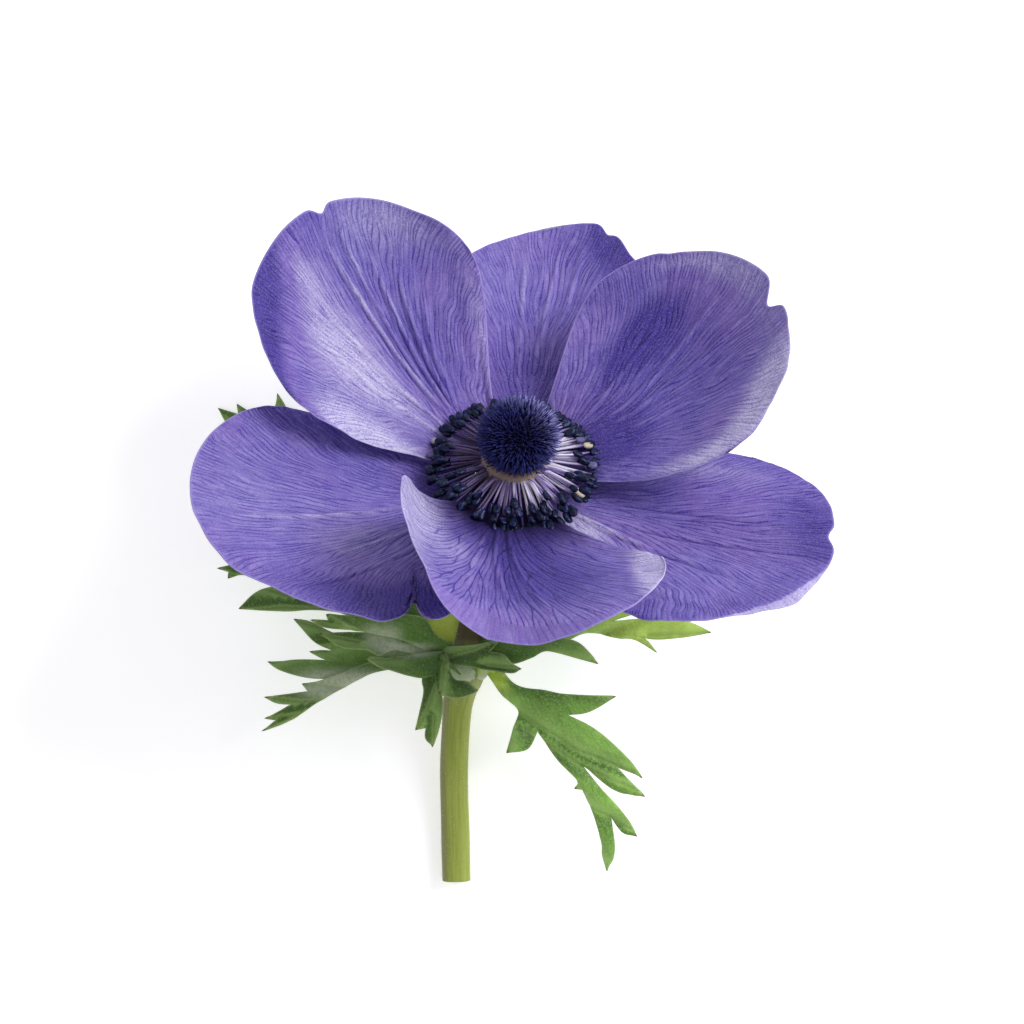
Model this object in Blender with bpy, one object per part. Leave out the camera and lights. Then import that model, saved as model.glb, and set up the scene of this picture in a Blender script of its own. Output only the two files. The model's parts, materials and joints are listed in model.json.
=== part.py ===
"""A picked anemone flower, laid on a table with its bloom facing up and away from the stem.

One stem carries a collar of three deeply cut leaves (bracts) and a bloom of six petals in two
layers of three, a ring of stamens and a domed pistil.  Sizes are in millimetres and angles in
degrees; the meshes are written in metres.  X runs across, Y from the cut end of the stem to
the bloom, Z up, and the table is Z = 0.
"""

import math
import random

import bpy
import numpy as np
from mathutils import Matrix, Vector
from mathutils.geometry import delaunay_2d_cdt

MM = 0.001
GAP = 0.3                      # clearance between neighbouring pieces
SEED = 7

# Where things lie
ORIGIN_SHIFT = (-0.4, 5.2, 0.0)         # puts the origin under the middle of the flower
BLOOM_BASE = (0.1, 4.5, 28.2)          # foot of the bloom's own axis
BLOOM_TILT = 40.0                      # bloom axis away from straight up, towards +Y
BLOOM_LEAN = -3.0                      # turned about Z

# Petals: six in two layers
PETAL_THICK = 0.7
PETAL_CLAW = 8.0                       # width where a petal joins the bloom
PETAL_START = 4.0                      # distance of that edge from the bloom's axis
UPPER_LAYER = 1.2                      # height of the upper layer's petals over the lower
PETAL_CELLS = (12, 12)                 # across, along
PETALS = {
    # rise: slope of the midrib at its foot, middle and tip; curl: how far each side bends up
    "petal_back_left": dict(
        turn=141.5, length=45.3, width=38.9, layer=1, rise=(2.5, 30, 57), curl=(41, 39),
        rounding=0.41, swell=1.52, sweep=0, twist=-4.5, lopsided=-0.02, clefts=((-0.15, 0.07, 0.035),)),
    "petal_back": dict(
        turn=82.0, length=44.2, width=31.5, layer=0, rise=(4.7, 4.2, 4.5), curl=(13, 29),
        rounding=0.50, swell=0.90, sweep=0, twist=-15.4, lopsided=0.08,
        clefts=((-0.25, 0.05, 0.025), (-0.52, 0.06, 0.03))),
    "petal_back_right": dict(
        turn=29.0, length=42.6, width=36.9, layer=1, rise=(10.7, 20.8, 55.4), curl=(30, 41),
        rounding=0.46, swell=1.35, sweep=1.4, twist=-0.7, lopsided=0.02,
        clefts=((-0.06, 0.08, 0.055), (0.6, 0.06, 0.02))),
    "petal_right": dict(
        turn=-22.3, length=43.2, width=36.7, layer=0, rise=(-1.7, 17.7, 10.5), curl=(11, 9),
        rounding=0.40, swell=0.96, sweep=1, twist=-9.5, lopsided=-0.11, clefts=((0.19, 0.07, 0.03),)),
    "petal_front": dict(
        turn=265.0, length=44.2, width=41.9, layer=1, rise=(6.7, 45, 29.2), curl=(89, 5),
        rounding=0.51, swell=1.51, sweep=27.8, twist=21.2, lopsided=-0.03, clefts=()),
    "petal_left": dict(
        turn=214.9, length=43.4, width=43.7, layer=0, rise=(1.3, 18.8, 22.8), curl=(24, 21),
        rounding=0.45, swell=1.09, sweep=-9.1, twist=3.4, lopsided=-0.05, clefts=((0.9, 0.05, 0.10),)),
}

# Stem: points of its centre line with the radius there, from the cut end up to the bloom
STEM_SIDES = 16
STEM_LINE = [
    ((-8.2, -54.4, 1.92), 2.10),
    ((-8.3, -48.0, 1.92), 2.10),
    ((-8.5, -41.0, 2.7), 2.05),
    ((-8.4, -34.5, 3.9), 2.05),
    ((-8.0, -29.0, 5.3), 2.15),
    ((-7.5, -26.0, 6.3), 2.4),
    ((-7.0, -24.0, 7.1), 2.9),
    ((-6.8, -22.3, 7.9), 2.8),
    ((-6.5, -20.3, 8.9), 2.2),
    ((-5.4, -15.0, 12.0), 1.9),
    ((-3.4, -7.5, 17.3), 1.9),
    ((-1.4, -1.0, 22.9), 2.0),
]
# Head of the stem along the bloom's axis: height and radius
STEM_HEAD = [(-2.8, 2.3), (-1.6, 3.6), (-0.9, 5.0), (-0.7, 5.0), (-0.7, 3.6), (3.4, 3.5)]

# Stamens
STAMEN_ROWS = [
    # count, reach from the axis, height of the anther, half length and radius of the anther
    dict(count=22, reach=8.0, height=5.0, anther=(1.0, 0.6)),
    dict(count=30, reach=10.6, height=4.6, anther=(1.05, 0.66)),
]
STAMEN_RING = dict(inner=3.9, outer=5.3, low=2.2, high=4.3, sides=24)
FILAMENT_RADIUS = 0.36

# Pistil
DOME_RADIUS = 5.2
DOME_HALF_HEIGHT = 4.3
DOME_MIDDLE = 8.8
NECK_RADIUS = 3.5
NECK_FOOT = 3.7
STYLE_COUNT = 110
STYLE_LENGTH = 1.6
STYLE_RADIUS = 0.5

# Leaves below the bloom
LEAF_THICK = 0.7
NODE_AT = (-6.8, -22.3, 7.9)           # where the leaves leave the stem
SHEATH_INNER = 1.9                     # before the stem's clearance is taken out
SHEATH_OUTER = 3.9
SHEATH_LENGTH = 3.6
STALK_RADIUS = 0.8
LEAF_GRID = 3.0                        # spacing of the points inside a blade
LEAVES = {
    # root, tip: plan position; rise: height at the root, halfway handle and tip; roll: turned about its
    # own line; keel: how far each half folds up; sheath: where its foot clasps the stem, 90 = on top;
    # outline: (along, across) from the root's right side round the tip, across positive to the left
    "bract_front": dict(sheath=(62, 200), blades=(
        dict(root=(-9.5, -21.0), tip=(1.0, -23.0), rise=(11.6, 15.5, 14.0), roll=-15, keel=12, outline=(
            (-2, -1), (3.5, -0.8), (7, -0.6), (9.5, -0.5), (11, 0.5), (9.5, 1), (8, 2), (6, 2),
            (6.5, 3), (7, 4), (3.5, 2.5), (-2, 1))),
        dict(root=(-10.0, -21.0), tip=(-5.0, -25.5), rise=(12.4, 17.5, 15.5), roll=0, keel=0, outline=(
            (-2, -1), (0, -1.5), (1.5, -3), (3, -4), (5, -3), (6.5, -1), (7, 0), (5, 0), (3.5, -1),
            (2, -0.5), (0.5, 0.5), (-2, 1))),
        dict(root=(-11.0, -21.5), tip=(-11.5, -34.0), rise=(11.8, 17.0, 12.5), roll=10, keel=10, outline=(
            (-2, -1), (1, -1.5), (3, -1.8), (4.5, -1.5), (7.5, -2), (10, -2.5), (9.5, -1), (11, -1),
            (12.5, 0), (9.5, 1), (6, 1.5), (3.5, 1), (-2, 1))),
        dict(root=(-11.0, -21.0), tip=(-21.0, -21.0), rise=(11.8, 15.5, 14.2), roll=12, keel=10, outline=(
            (-2, -1), (2.5, -0.6), (4.5, -0.1), (6.5, 0), (9, -0.2), (10, 0), (8, 1.5), (6.5, 2),
            (3.5, 3), (1.5, 3), (-2, 1.5))),
        dict(root=(-11.0, -20.0), tip=(-29.0, -15.5), rise=(10.9, 14.5, 15.0), roll=-10, keel=8, outline=(
            (-2, -1.5), (1, -2.5), (3.5, -4.5), (7.5, -4), (12.5, -2.5), (15, -1.8), (16.5, -1.4), (16, -0.6),
            (18.5, 0), (16.5, 0.5), (13.5, 0.2), (10, -0.2), (5, -0.5), (-2, 1))),
        dict(root=(-11.5, -20.5), tip=(-28.0, -17.5), rise=(10.5, 12.5, 12.0), roll=5, keel=10, outline=(
            (-2, -1), (3.5, -1.5), (7, -1.8), (12, -1), (16.5, 0), (15, 0.7), (13, 1.5), (9.5, 1.2),
            (7.5, 1.7), (6, 0.6), (3, 0.5), (-2, 1))),
        dict(root=(-11.5, -21.0), tip=(-32.0, -15.5), rise=(9.0, 8.0, 8.0), roll=0, keel=6, outline=(
            (-2, -1), (5.5, -0.2), (9, 0.3), (12.5, 0.8), (15.5, 0.4), (18.5, -0.2), (21, 0), (19.5, 1),
            (17, 2.5), (14, 3), (16, 3.4), (17.5, 4), (15, 4.5), (12, 4), (18.5, 5.5), (21, 6.4),
            (23, 7), (21, 7.7), (17.5, 7.8), (14.5, 7.3), (12, 6.4), (8.5, 4), (4, 2), (-2, 1))),
        dict(root=(-11.5, -21.5), tip=(-36.5, -32.0), rise=(10.7, 12.0, 7.0), roll=0, keel=-8, outline=(
            (-2, -1), (0.5, -0.8), (5, -2.6), (9.5, -3.3), (13.5, -3.4), (16.5, -3.6), (19, -4.2),
            (18.5, -2.8), (22, -3.7), (25, -4.5), (23.5, -3), (21.5, -2), (24, -1.7), (26, -1.6),
            (24.5, -0.7), (27, 0), (23, 0.1), (17.5, -0.9), (11, -1.6), (7, -1.4), (-2, 1))))),
    "bract_right": dict(sheath=(-72, 54), blades=(
        dict(root=(-3.0, -23.0), tip=(14.0, -53.0), rise=(7.4, 11.5, 0.2), roll=0, keel=8, outline=(
            (-2, -1), (3.5, -0.5), (7, 0.5), (9, -1.5), (11.5, -4), (12.5, -1), (11, 1.5), (16, 2),
            (20, 3), (21, 2), (21.5, 3), (26, 2.5), (30, 1.5), (32, 0.6), (34.5, 0), (32, 2.5),
            (27.5, 4.5), (30, 5), (31.5, 6.5), (27.5, 6.5), (18, 4.5), (23.5, 7), (25.5, 9), (26.5, 10.5),
            (21, 9), (24, 11.5), (20, 11), (14.5, 9), (11, 6.5), (12, 9.5), (12, 14), (8.5, 8),
            (6.5, 5.5), (3.5, 2), (-2, 1))),
        dict(root=(-5.0, -20.0), tip=(12.5, -22.0), rise=(10.6, 14.0, 10.5), roll=-10, keel=10, outline=(
            (-1, -1), (1.5, -1), (3.5, -1.5), (5.5, -1.5), (7.5, -0.5), (9.5, 1), (11.5, 1), (14.5, 0.5),
            (17.6, 0), (16, 1.5), (13.5, 3), (8, 3.2), (3, 2.6), (-1, 1))),
        dict(root=(-4.5, -19.5), tip=(29.0, -17.5), rise=(8.0, 7.5, 9.0), roll=0, keel=8, outline=(
            (-1.5, -0.9), (6, -0.6), (12, 0), (15.5, 1), (20, 0), (22.5, -0.5), (25.5, -2.5), (24, -0.5),
            (22, 0.5),
            (25, -0.5), (29, -0.5), (33.5, 0), (31, 1.5), (28, 2.5), (19, 2.5), (26.5, 4.5),
            (29.5, 6.5), (25, 6.5), (21, 5), (14.5, 3), (6, 1), (-1.5, 0.9))))),
    "bract_back": dict(sheath=(210, 278), blades=(
        dict(root=(-12.0, -19.0), tip=(-44.0, 16.0), rise=(5.0, 4.0, 0.1), roll=0, keel=5, outline=(
            (-2, -1.6), (1, -8), (7, -9.5), (14, -7.5), (20, -7.5), (25, -9.5), (30, -11), (35, -10.5),
            (30.5, -8), (19, -4.5), (29, -6), (35, -6.5), (42, -8), (39, -5), (31, -2.2), (38, -3),
            (42.5, -3), (45, -2.5),
            (43.8, -1.6), (46.5, 0), (44, 0.6), (37.5, 1.5), (26.5, 3), (14.5, 3.5), (5, 2), (-2, 1))),
        dict(root=(-12.0, -19.5), tip=(-43.5, -8.0), rise=(5.6, 7.0, 6.5), roll=0, keel=6, outline=(
            (-1.5, -1), (6, -3), (12.5, -5), (18, -6.5), (24.5, -8.5), (30, -8.5), (25, -6), (18, -3.8),
            (25, -4), (29, -3), (31.5, -1), (33, 0), (31.3, 0), (31, 0.9), (29.5, -0.2), (26, -1.2),
            (20, -2), (24.5, -0.2), (26.5, 1.5), (28, 4.5), (21.5, 2.5), (18, 1), (14, 0), (8, -0.2),
            (-1.5, 1))))),
}

# Colours: (red, green, blue), roughness
COLOURS = {
    "petal": ((0.11, 0.07, 0.38), 0.55),
    "stem": ((0.24, 0.33, 0.07), 0.6),
    "leaf": ((0.06, 0.14, 0.03), 0.6),
    "stamen": ((0.01, 0.01, 0.06), 0.5),
    "pistil": ((0.01, 0.01, 0.05), 0.7),
}


def clear_scene():
    for item in list(bpy.data.objects):
        bpy.data.objects.remove(item)


def material(name):
    colour, roughness = COLOURS[name]
    paint = bpy.data.materials.new(name)
    paint.use_nodes = True
    shader = paint.node_tree.nodes["Principled BSDF"]
    shader.inputs["Base Color"].default_value = (*colour, 1.0)
    shader.inputs["Roughness"].default_value = roughness
    shader.inputs["Metallic"].default_value = 0.0
    return paint


def add_object(name, verts, faces, paint=None, parent=None):
    """An object from points in millimetres, as a mesh in metres."""
    mesh = bpy.data.meshes.new(name)
    mesh.from_pydata([tuple(c * MM for c in v) for v in verts], [], faces)
    item = bpy.data.objects.new(name, mesh)
    bpy.context.scene.collection.objects.link(item)
    item.parent = parent
    if paint:
        mesh.materials.append(paint)
    return item


def add_empty(name, place, turn=(0.0, 0.0, 0.0), parent=None):
    empty = bpy.data.objects.new(name, None)
    bpy.context.scene.collection.objects.link(empty)
    empty.location = Vector(place) * MM
    empty.rotation_euler = [math.radians(a) for a in turn]
    empty.parent = parent
    return empty


def smooth(item, angle):
    item.data.shade_smooth()
    item.data.set_sharp_from_angle(angle=math.radians(angle))


def evaluated_mesh(item):
    graph = bpy.context.evaluated_depsgraph_get()
    return bpy.data.meshes.new_from_object(item.evaluated_get(graph))


def apply_modifiers(item):
    mesh = evaluated_mesh(item)
    item.modifiers.clear()
    item.data = mesh


def fuse(base, pieces):
    """Join the pieces to the base as one body."""
    group = bpy.data.collections.new(base.name + "_pieces")
    bpy.context.scene.collection.children.link(group)
    for piece in pieces:
        bpy.context.scene.collection.objects.unlink(piece)
        group.objects.link(piece)
    union = base.modifiers.new("join", "BOOLEAN")
    union.operation = "UNION"
    union.operand_type = "COLLECTION"
    union.collection = group
    union.solver = "MANIFOLD"
    apply_modifiers(base)
    for piece in pieces:
        bpy.data.objects.remove(piece)
    bpy.data.collections.remove(group)


def cut(base, cutter):
    """Take the cutter's shape out of the base and drop the cutter."""
    difference = base.modifiers.new("clearance", "BOOLEAN")
    difference.operation = "DIFFERENCE"
    difference.object = cutter
    difference.solver = "MANIFOLD"
    apply_modifiers(base)
    bpy.data.objects.remove(cutter)


# ---------------------------------------------------------------- shapes used by several pieces

def loft(rings):
    """Points and faces of a closed body through rings of points, flat at both ends."""
    sides = len(rings[0])
    verts = [point for ring in rings for point in ring]
    faces = [tuple(reversed(range(sides)))]
    for start in range(0, (len(rings) - 1) * sides, sides):
        for i in range(sides):
            j = (i + 1) % sides
            faces.append((start + i, start + j, start + sides + j, start + sides + i))
    last = (len(rings) - 1) * sides
    faces.append(tuple(range(last, last + sides)))
    return verts, faces


def ring(centre, across, up, radius, sides):
    """A ring of points round a centre, counterclockwise seen from the side it faces."""
    step = 2 * math.pi / sides
    return [centre + radius * (math.cos(i * step) * across + math.sin(i * step) * up)
            for i in range(sides)]


def rings_along(centres, radii, sides, first_across):
    """Rings square to a line, carried along it without twisting."""
    rings = []
    across = Vector(first_across)
    for i, centre in enumerate(centres):
        ahead = centres[min(i + 1, len(centres) - 1)] - centres[max(i - 1, 0)]
        ahead.normalize()
        across = (across - across.dot(ahead) * ahead).normalized()
        rings.append(ring(centre, across, ahead.cross(across), radii[i], sides))
    return rings


def turned(profile, sides):
    """Points and faces of a profile of (radius, height) turned about Z, closed at the axis."""
    rings = [ring(Vector((0, 0, h)), Vector((1, 0, 0)), Vector((0, 1, 0)), r, sides)
             for r, h in profile]
    return loft(rings)


def turned_ring(profile, sides):
    """Points and faces of a closed profile turned about Z into a ring round the axis."""
    count = len(profile)
    verts = []
    for i in range(sides):
        a = 2 * math.pi * i / sides
        verts += [(r * math.cos(a), r * math.sin(a), h) for r, h in profile]
    faces = []
    for i in range(sides):
        for j in range(count):
            k = (j + 1) % count
            n = (i + 1) % sides
            faces.append((i * count + j, n * count + j, n * count + k, i * count + k))
    return verts, faces


def thick_sheet(points, faces, thick):
    """A closed sheet: both skins lie half the thickness from the given surface and share
    its triangles, and a rim joins them round the open edge."""
    points = np.array(points, float)
    triangles = np.array(faces, int)
    corners = points[triangles]
    across = np.cross(corners[:, 1] - corners[:, 0], corners[:, 2] - corners[:, 0])
    normals = np.zeros_like(points)
    for k in range(3):
        np.add.at(normals, triangles[:, k], across)
    normals /= np.linalg.norm(normals, axis=1)[:, None]
    count = len(points)
    verts = np.concatenate([points + normals * thick / 2, points - normals * thick / 2])
    skins = [tuple(t) for t in triangles]
    skins += [(t[0] + count, t[2] + count, t[1] + count) for t in triangles]
    directed = {(t[i], t[(i + 1) % 3]) for t in triangles for i in range(3)}
    rim = []
    for a, b in sorted(directed):
        if (b, a) not in directed:
            rim.append((b, a, a + count))
            rim.append((b, a + count, b + count))
    return verts.tolist(), skins + rim


# ---------------------------------------------------------------- petals

def petal_points(shape, x, y):
    """The petal's surface in the bloom's frame, for x from -1 to 1 across and y from 0 to 1 along."""
    length = shape["length"]
    half = shape["width"] / 2
    side = np.sin(np.pi / 2 * x)
    widening = np.sin(np.pi / 2 * y) ** shape["swell"]
    reach = PETAL_CLAW / 2 + (half - PETAL_CLAW / 2) * widening
    across = side * reach * (1 + shape["lopsided"] * side * y)
    edge = 1 - shape["rounding"] * (1 - np.cos(np.pi / 2 * x))
    for place, spread, depth in shape["clefts"]:
        edge = edge * (1 - depth * np.exp(-((x - place) / spread) ** 2) * y ** 6)
    along = length * y * edge

    # Midrib: its slope runs smoothly from foot to tip, and its line is the sum of short steps
    steps = np.linspace(0, 1.1 * length, 200)
    part = steps / length
    foot, middle, tip = np.radians(shape["rise"])
    slope = foot * (1 - part) ** 2 + 2 * middle * part * (1 - part) + tip * part ** 2
    step = steps[1]
    out = PETAL_START + np.concatenate([[0], np.cumsum(np.cos((slope[1:] + slope[:-1]) / 2) * step)])
    up = UPPER_LAYER * shape["layer"] \
        + np.concatenate([[0], np.cumsum(np.sin((slope[1:] + slope[:-1]) / 2) * step)])
    rib_out = np.interp(along, steps, out)
    rib_up = np.interp(along, steps, up)
    rib_slope = np.interp(along, steps, slope)

    # Each half bends up from the midrib as an arc
    curl = np.where(across < 0, math.radians(shape["curl"][0]), math.radians(shape["curl"][1]))
    bend = curl * np.abs(across) / half
    safe = np.maximum(bend, 1e-6)
    flat = across * np.sin(safe) / safe
    lift = np.abs(across) * (1 - np.cos(safe)) / safe

    fraction = np.clip(along / length, 0, 1.2)
    twist = math.radians(shape["twist"]) * np.minimum(fraction, 1)
    sideways = flat * np.cos(twist) - lift * np.sin(twist)
    outwards = flat * np.sin(twist) + lift * np.cos(twist)
    sideways = sideways + np.sin(fraction * math.radians(shape["sweep"])) * along / 2

    local = np.stack([rib_out - outwards * np.sin(rib_slope), sideways,
                      rib_up + outwards * np.cos(rib_slope)], -1)
    a = math.radians(shape["turn"])
    return np.stack([local[..., 0] * math.cos(a) - local[..., 1] * math.sin(a),
                     local[..., 0] * math.sin(a) + local[..., 1] * math.cos(a), local[..., 2]], -1)


def grid_faces(columns, rows):
    """Triangles of a grid, split along alternating diagonals."""
    faces = []
    for j in range(rows):
        for i in range(columns):
            a = j * (columns + 1) + i
            b, c, d = a + 1, a + columns + 2, a + columns + 1
            if (i + j) % 2:
                faces += [(a, b, c), (a, c, d)]
            else:
                faces += [(a, b, d), (b, c, d)]
    return faces


def columns_at_clefts(shape, columns):
    """Places across the petal: evenly spaced, with each cleft's middle and sides put in."""
    cleft_places = [place + k * spread for place, spread, _ in shape["clefts"] for k in (-1, 0, 1)]
    even = [x for x in np.linspace(-1, 1, columns + 1)
            if all(abs(x - c) > 0.6 / columns for c in cleft_places) or abs(x) == 1]
    return np.array(sorted(even + [c for c in cleft_places if abs(c) < 0.98]))


def make_petals(bloom, paint):
    columns, rows = PETAL_CELLS
    petals = []
    for name, shape in PETALS.items():
        x, y = np.meshgrid(columns_at_clefts(shape, columns), np.linspace(0, 1, rows + 1))
        points = petal_points(shape, x, y).reshape(-1, 3)
        faces = [tuple(reversed(f)) for f in grid_faces(x.shape[1] - 1, rows)]
        verts, faces = thick_sheet(points, faces, PETAL_THICK)
        petal = add_object(name, verts, faces, paint, bloom)
        smooth(petal, 60)
        petals.append(petal)
    return petals


def rest_on_table(item):
    """Flatten the little that would reach below the table."""
    bpy.context.view_layer.update()
    back = item.matrix_world.inverted()
    for vert in item.data.vertices:
        place = item.matrix_world @ vert.co
        if place.z < 0:
            place.z = 0.0
            vert.co = back @ place


# ---------------------------------------------------------------- stem

def bloom_axis():
    tilt = math.radians(BLOOM_TILT)
    lean = math.radians(BLOOM_LEAN)
    return Vector((-math.sin(tilt) * math.sin(lean), math.sin(tilt) * math.cos(lean), math.cos(tilt)))


def stem_rings(extra=0.0):
    """Rings of the stem from its cut end to the top of its head, wider by extra."""
    centres = [Vector(place) for place, _ in STEM_LINE]
    radii = [radius + extra for _, radius in STEM_LINE]
    line = rings_along(centres, radii, STEM_SIDES, (1, 0, 0))
    axis = bloom_axis()
    across = (Vector((1, 0, 0)) - axis.x * axis).normalized()
    foot = Vector(BLOOM_BASE)
    head = [ring(foot + axis * height, across, axis.cross(across), radius + extra, STEM_SIDES)
            for height, radius in STEM_HEAD]
    return line + head


def make_stem(laid, paint):
    verts, faces = loft(stem_rings())
    stem = add_object("stem", verts, faces, paint, laid)
    rest_on_table(stem)
    smooth(stem, 40)
    return stem


# ---------------------------------------------------------------- leaves

def blade_point(blade, along, across):
    """A point of a leaf blade, from its place in the flat outline."""
    root = Vector((*blade["root"], 0))
    line = Vector((*blade["tip"], 0)) - root
    run = line.length
    heading = line / run
    f = along / run
    low, handle, high = blade["rise"]
    height = (1 - f) ** 2 * low + 2 * f * (1 - f) * handle + f ** 2 * high
    slope = math.atan2(2 * ((1 - f) * (handle - low) + f * (high - handle)), run)
    side = Vector((-heading.y, heading.x, 0))
    normal = -math.sin(slope) * heading + math.cos(slope) * Vector((0, 0, 1))
    roll = math.radians(blade["roll"])
    keel = math.radians(blade["keel"])
    rolled_side = math.cos(roll) * side + math.sin(roll) * normal
    rolled_normal = math.cos(roll) * normal - math.sin(roll) * side
    place = root + heading * along
    place.z = height
    return place + rolled_side * across * math.cos(keel) + rolled_normal * abs(across) * math.sin(keel)


def inside(point, outline):
    """Whether a point of the plan lies inside the outline, and how far from its edge."""
    crossings = False
    nearest = math.inf
    for a, b in zip(outline, outline[1:] + outline[:1]):
        if (a[1] > point[1]) != (b[1] > point[1]):
            if point[0] < a[0] + (point[1] - a[1]) * (b[0] - a[0]) / (b[1] - a[1]):
                crossings = not crossings
        edge = Vector(b) - Vector(a)
        t = max(0, min(1, (Vector(point) - Vector(a)).dot(edge) / edge.length_squared))
        nearest = min(nearest, (Vector(a) + edge * t - Vector(point)).length)
    return crossings, nearest


def blade_mesh(blade):
    """Points and faces of one thick blade: its flat outline is filled with triangles, then bent."""
    outline = [tuple(float(c) for c in point) for point in blade["outline"]]
    spots = list(outline)
    reach = max(u for u, _ in outline)
    width = max(abs(v) for _, v in outline)
    rows = math.ceil(width / LEAF_GRID)
    for row in range(-rows, rows + 1):
        for step in range(1, int(reach / LEAF_GRID) + 1):
            spot = (LEAF_GRID * (step + 0.5 * (row % 2)), LEAF_GRID * row)
            within, clear = inside(spot, outline)
            if within and clear > LEAF_GRID / 4:
                spots.append(spot)
    loop = [list(range(len(outline)))]
    flat, _, faces, _, _, _ = delaunay_2d_cdt([Vector(s) for s in spots], [], loop, 1, 1e-4)
    points = [blade_point(blade, u, v) for u, v in flat]
    return thick_sheet(points, faces, LEAF_THICK)


def stem_direction():
    ends = [Vector(place) for place, _ in STEM_LINE]
    near = min(range(1, len(ends) - 1), key=lambda i: (ends[i] - Vector(NODE_AT)).length)
    return (ends[near + 1] - ends[near - 1]).normalized()


def round_stem(angle, radius, forward=0.0):
    """A point beside the stem at the node: 0 degrees is towards +X and 90 is on top."""
    ahead = stem_direction()
    across = (Vector((1, 0, 0)) - ahead.x * ahead).normalized()
    up = across.cross(ahead)
    a = math.radians(angle)
    return Vector(NODE_AT) + radius * (math.cos(a) * across + math.sin(a) * up) + forward * ahead


def sheath_mesh(start, end):
    """The foot of a leaf: a curved wall that clasps part of the stem."""
    count = max(3, round((end - start) / 20))
    rings = []
    for i in range(count + 1):
        angle = start + (end - start) * i / count
        rings.append([round_stem(angle, radius, forward) for radius, forward in (
            (SHEATH_INNER, -SHEATH_LENGTH / 2), (SHEATH_OUTER - 0.2, -SHEATH_LENGTH / 2),
            (SHEATH_OUTER, 0), (SHEATH_OUTER - 0.4, SHEATH_LENGTH / 2),
            (SHEATH_INNER, SHEATH_LENGTH / 2))])
    return loft(rings)


def stalk_mesh(blade, angle):
    """The rib that joins a blade to its sheath."""
    root = Vector((*blade["root"], blade["rise"][0]))
    further = blade_point(blade, 3.0, blade["outline"][0][1] / 4)
    centres = [round_stem(angle, 3.2), root, further]
    radii = [STALK_RADIUS, STALK_RADIUS, STALK_RADIUS * 0.5]
    return loft(rings_along(centres, radii, 5, (0.3, 0.5, 0.8)))


def angle_to(place):
    """The angle round the stem at which a place is seen from the node."""
    angles = range(-90, 270, 5)
    return min(angles, key=lambda a: (round_stem(a, 4.0) - place).length)


def make_leaf(name, leaf, laid, paint):
    start, end = leaf["sheath"]
    base = add_object(name, *sheath_mesh(start, end), paint, laid)
    pieces = []
    for i, blade in enumerate(leaf["blades"]):
        root = Vector((*blade["root"], blade["rise"][0]))
        angle = max(start + 10, min(end - 10, angle_to(root)))
        pieces.append(add_object(f"{name}_blade_{i}", *blade_mesh(blade), None, laid))
        pieces.append(add_object(f"{name}_stalk_{i}", *stalk_mesh(blade, angle), None, laid))
    fuse(base, pieces)
    clearance = add_object("stem_clearance", *loft(stem_rings(GAP)[3:-2]), None, laid)
    cut(base, clearance)
    rest_on_table(base)
    smooth(base, 40)
    return base


# ---------------------------------------------------------------- stamens and pistil

def stamen_mesh(turn, reach, height, anther, yaw):
    """One stamen: a thin filament that arches out and carries a plump anther."""
    half, radius = anther
    foot = (STAMEN_RING["inner"] + STAMEN_RING["outer"]) / 2
    base = Vector((foot, 0, (STAMEN_RING["low"] + STAMEN_RING["high"]) / 2))
    end = Vector((reach - half, 0, height))
    handle = Vector((foot + 0.35 * (reach - foot), 0, height + 0.3))
    centres = [base, base.lerp(handle, 0.5).lerp(handle.lerp(end, 0.5), 0.5), end]
    centres += [end + Vector((half * k, half * yaw * k, 0.1 * half * k)) for k in (0.5, 1.4, 2.0)]
    radii = [FILAMENT_RADIUS] * 2 + [FILAMENT_RADIUS * 1.1, radius, radius, radius * 0.4]
    turning = Matrix.Rotation(math.radians(turn), 3, "Z")
    return loft(rings_along([turning @ c for c in centres], radii, 4, (0.1, 0.2, 1)))


def make_stamens(bloom, paint):
    draw = random.Random(SEED)
    inner, outer = STAMEN_RING["inner"], STAMEN_RING["outer"]
    low, high = STAMEN_RING["low"], STAMEN_RING["high"]
    profile = [(inner, low), (outer, low), (outer, high - 0.4), (outer - 0.5, high), (inner, high)]
    base = add_object("stamens", *turned_ring(profile, STAMEN_RING["sides"]), paint, bloom)
    pieces = []
    for row in STAMEN_ROWS:
        step = 360 / row["count"]
        for i in range(row["count"]):
            turn = (i + draw.uniform(-0.12, 0.12)) * step
            reach = row["reach"] + draw.uniform(-0.5, 0.5)
            height = row["height"] + draw.uniform(-0.3, 0.3)
            yaw = draw.uniform(-0.25, 0.25)
            mesh = stamen_mesh(turn, reach, height, row["anther"], yaw)
            pieces.append(add_object(f"stamen_{len(pieces)}", *mesh, None, bloom))
    fuse(base, pieces)
    smooth(base, 40)
    return base


def dome_place(height_angle, turn, radius_more=0.0):
    a, t = math.radians(height_angle), math.radians(turn)
    r = (DOME_RADIUS + radius_more) * math.cos(a)
    height = DOME_MIDDLE + (DOME_HALF_HEIGHT + radius_more) * math.sin(a)
    return Vector((r * math.cos(t), r * math.sin(t), height))


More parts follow.
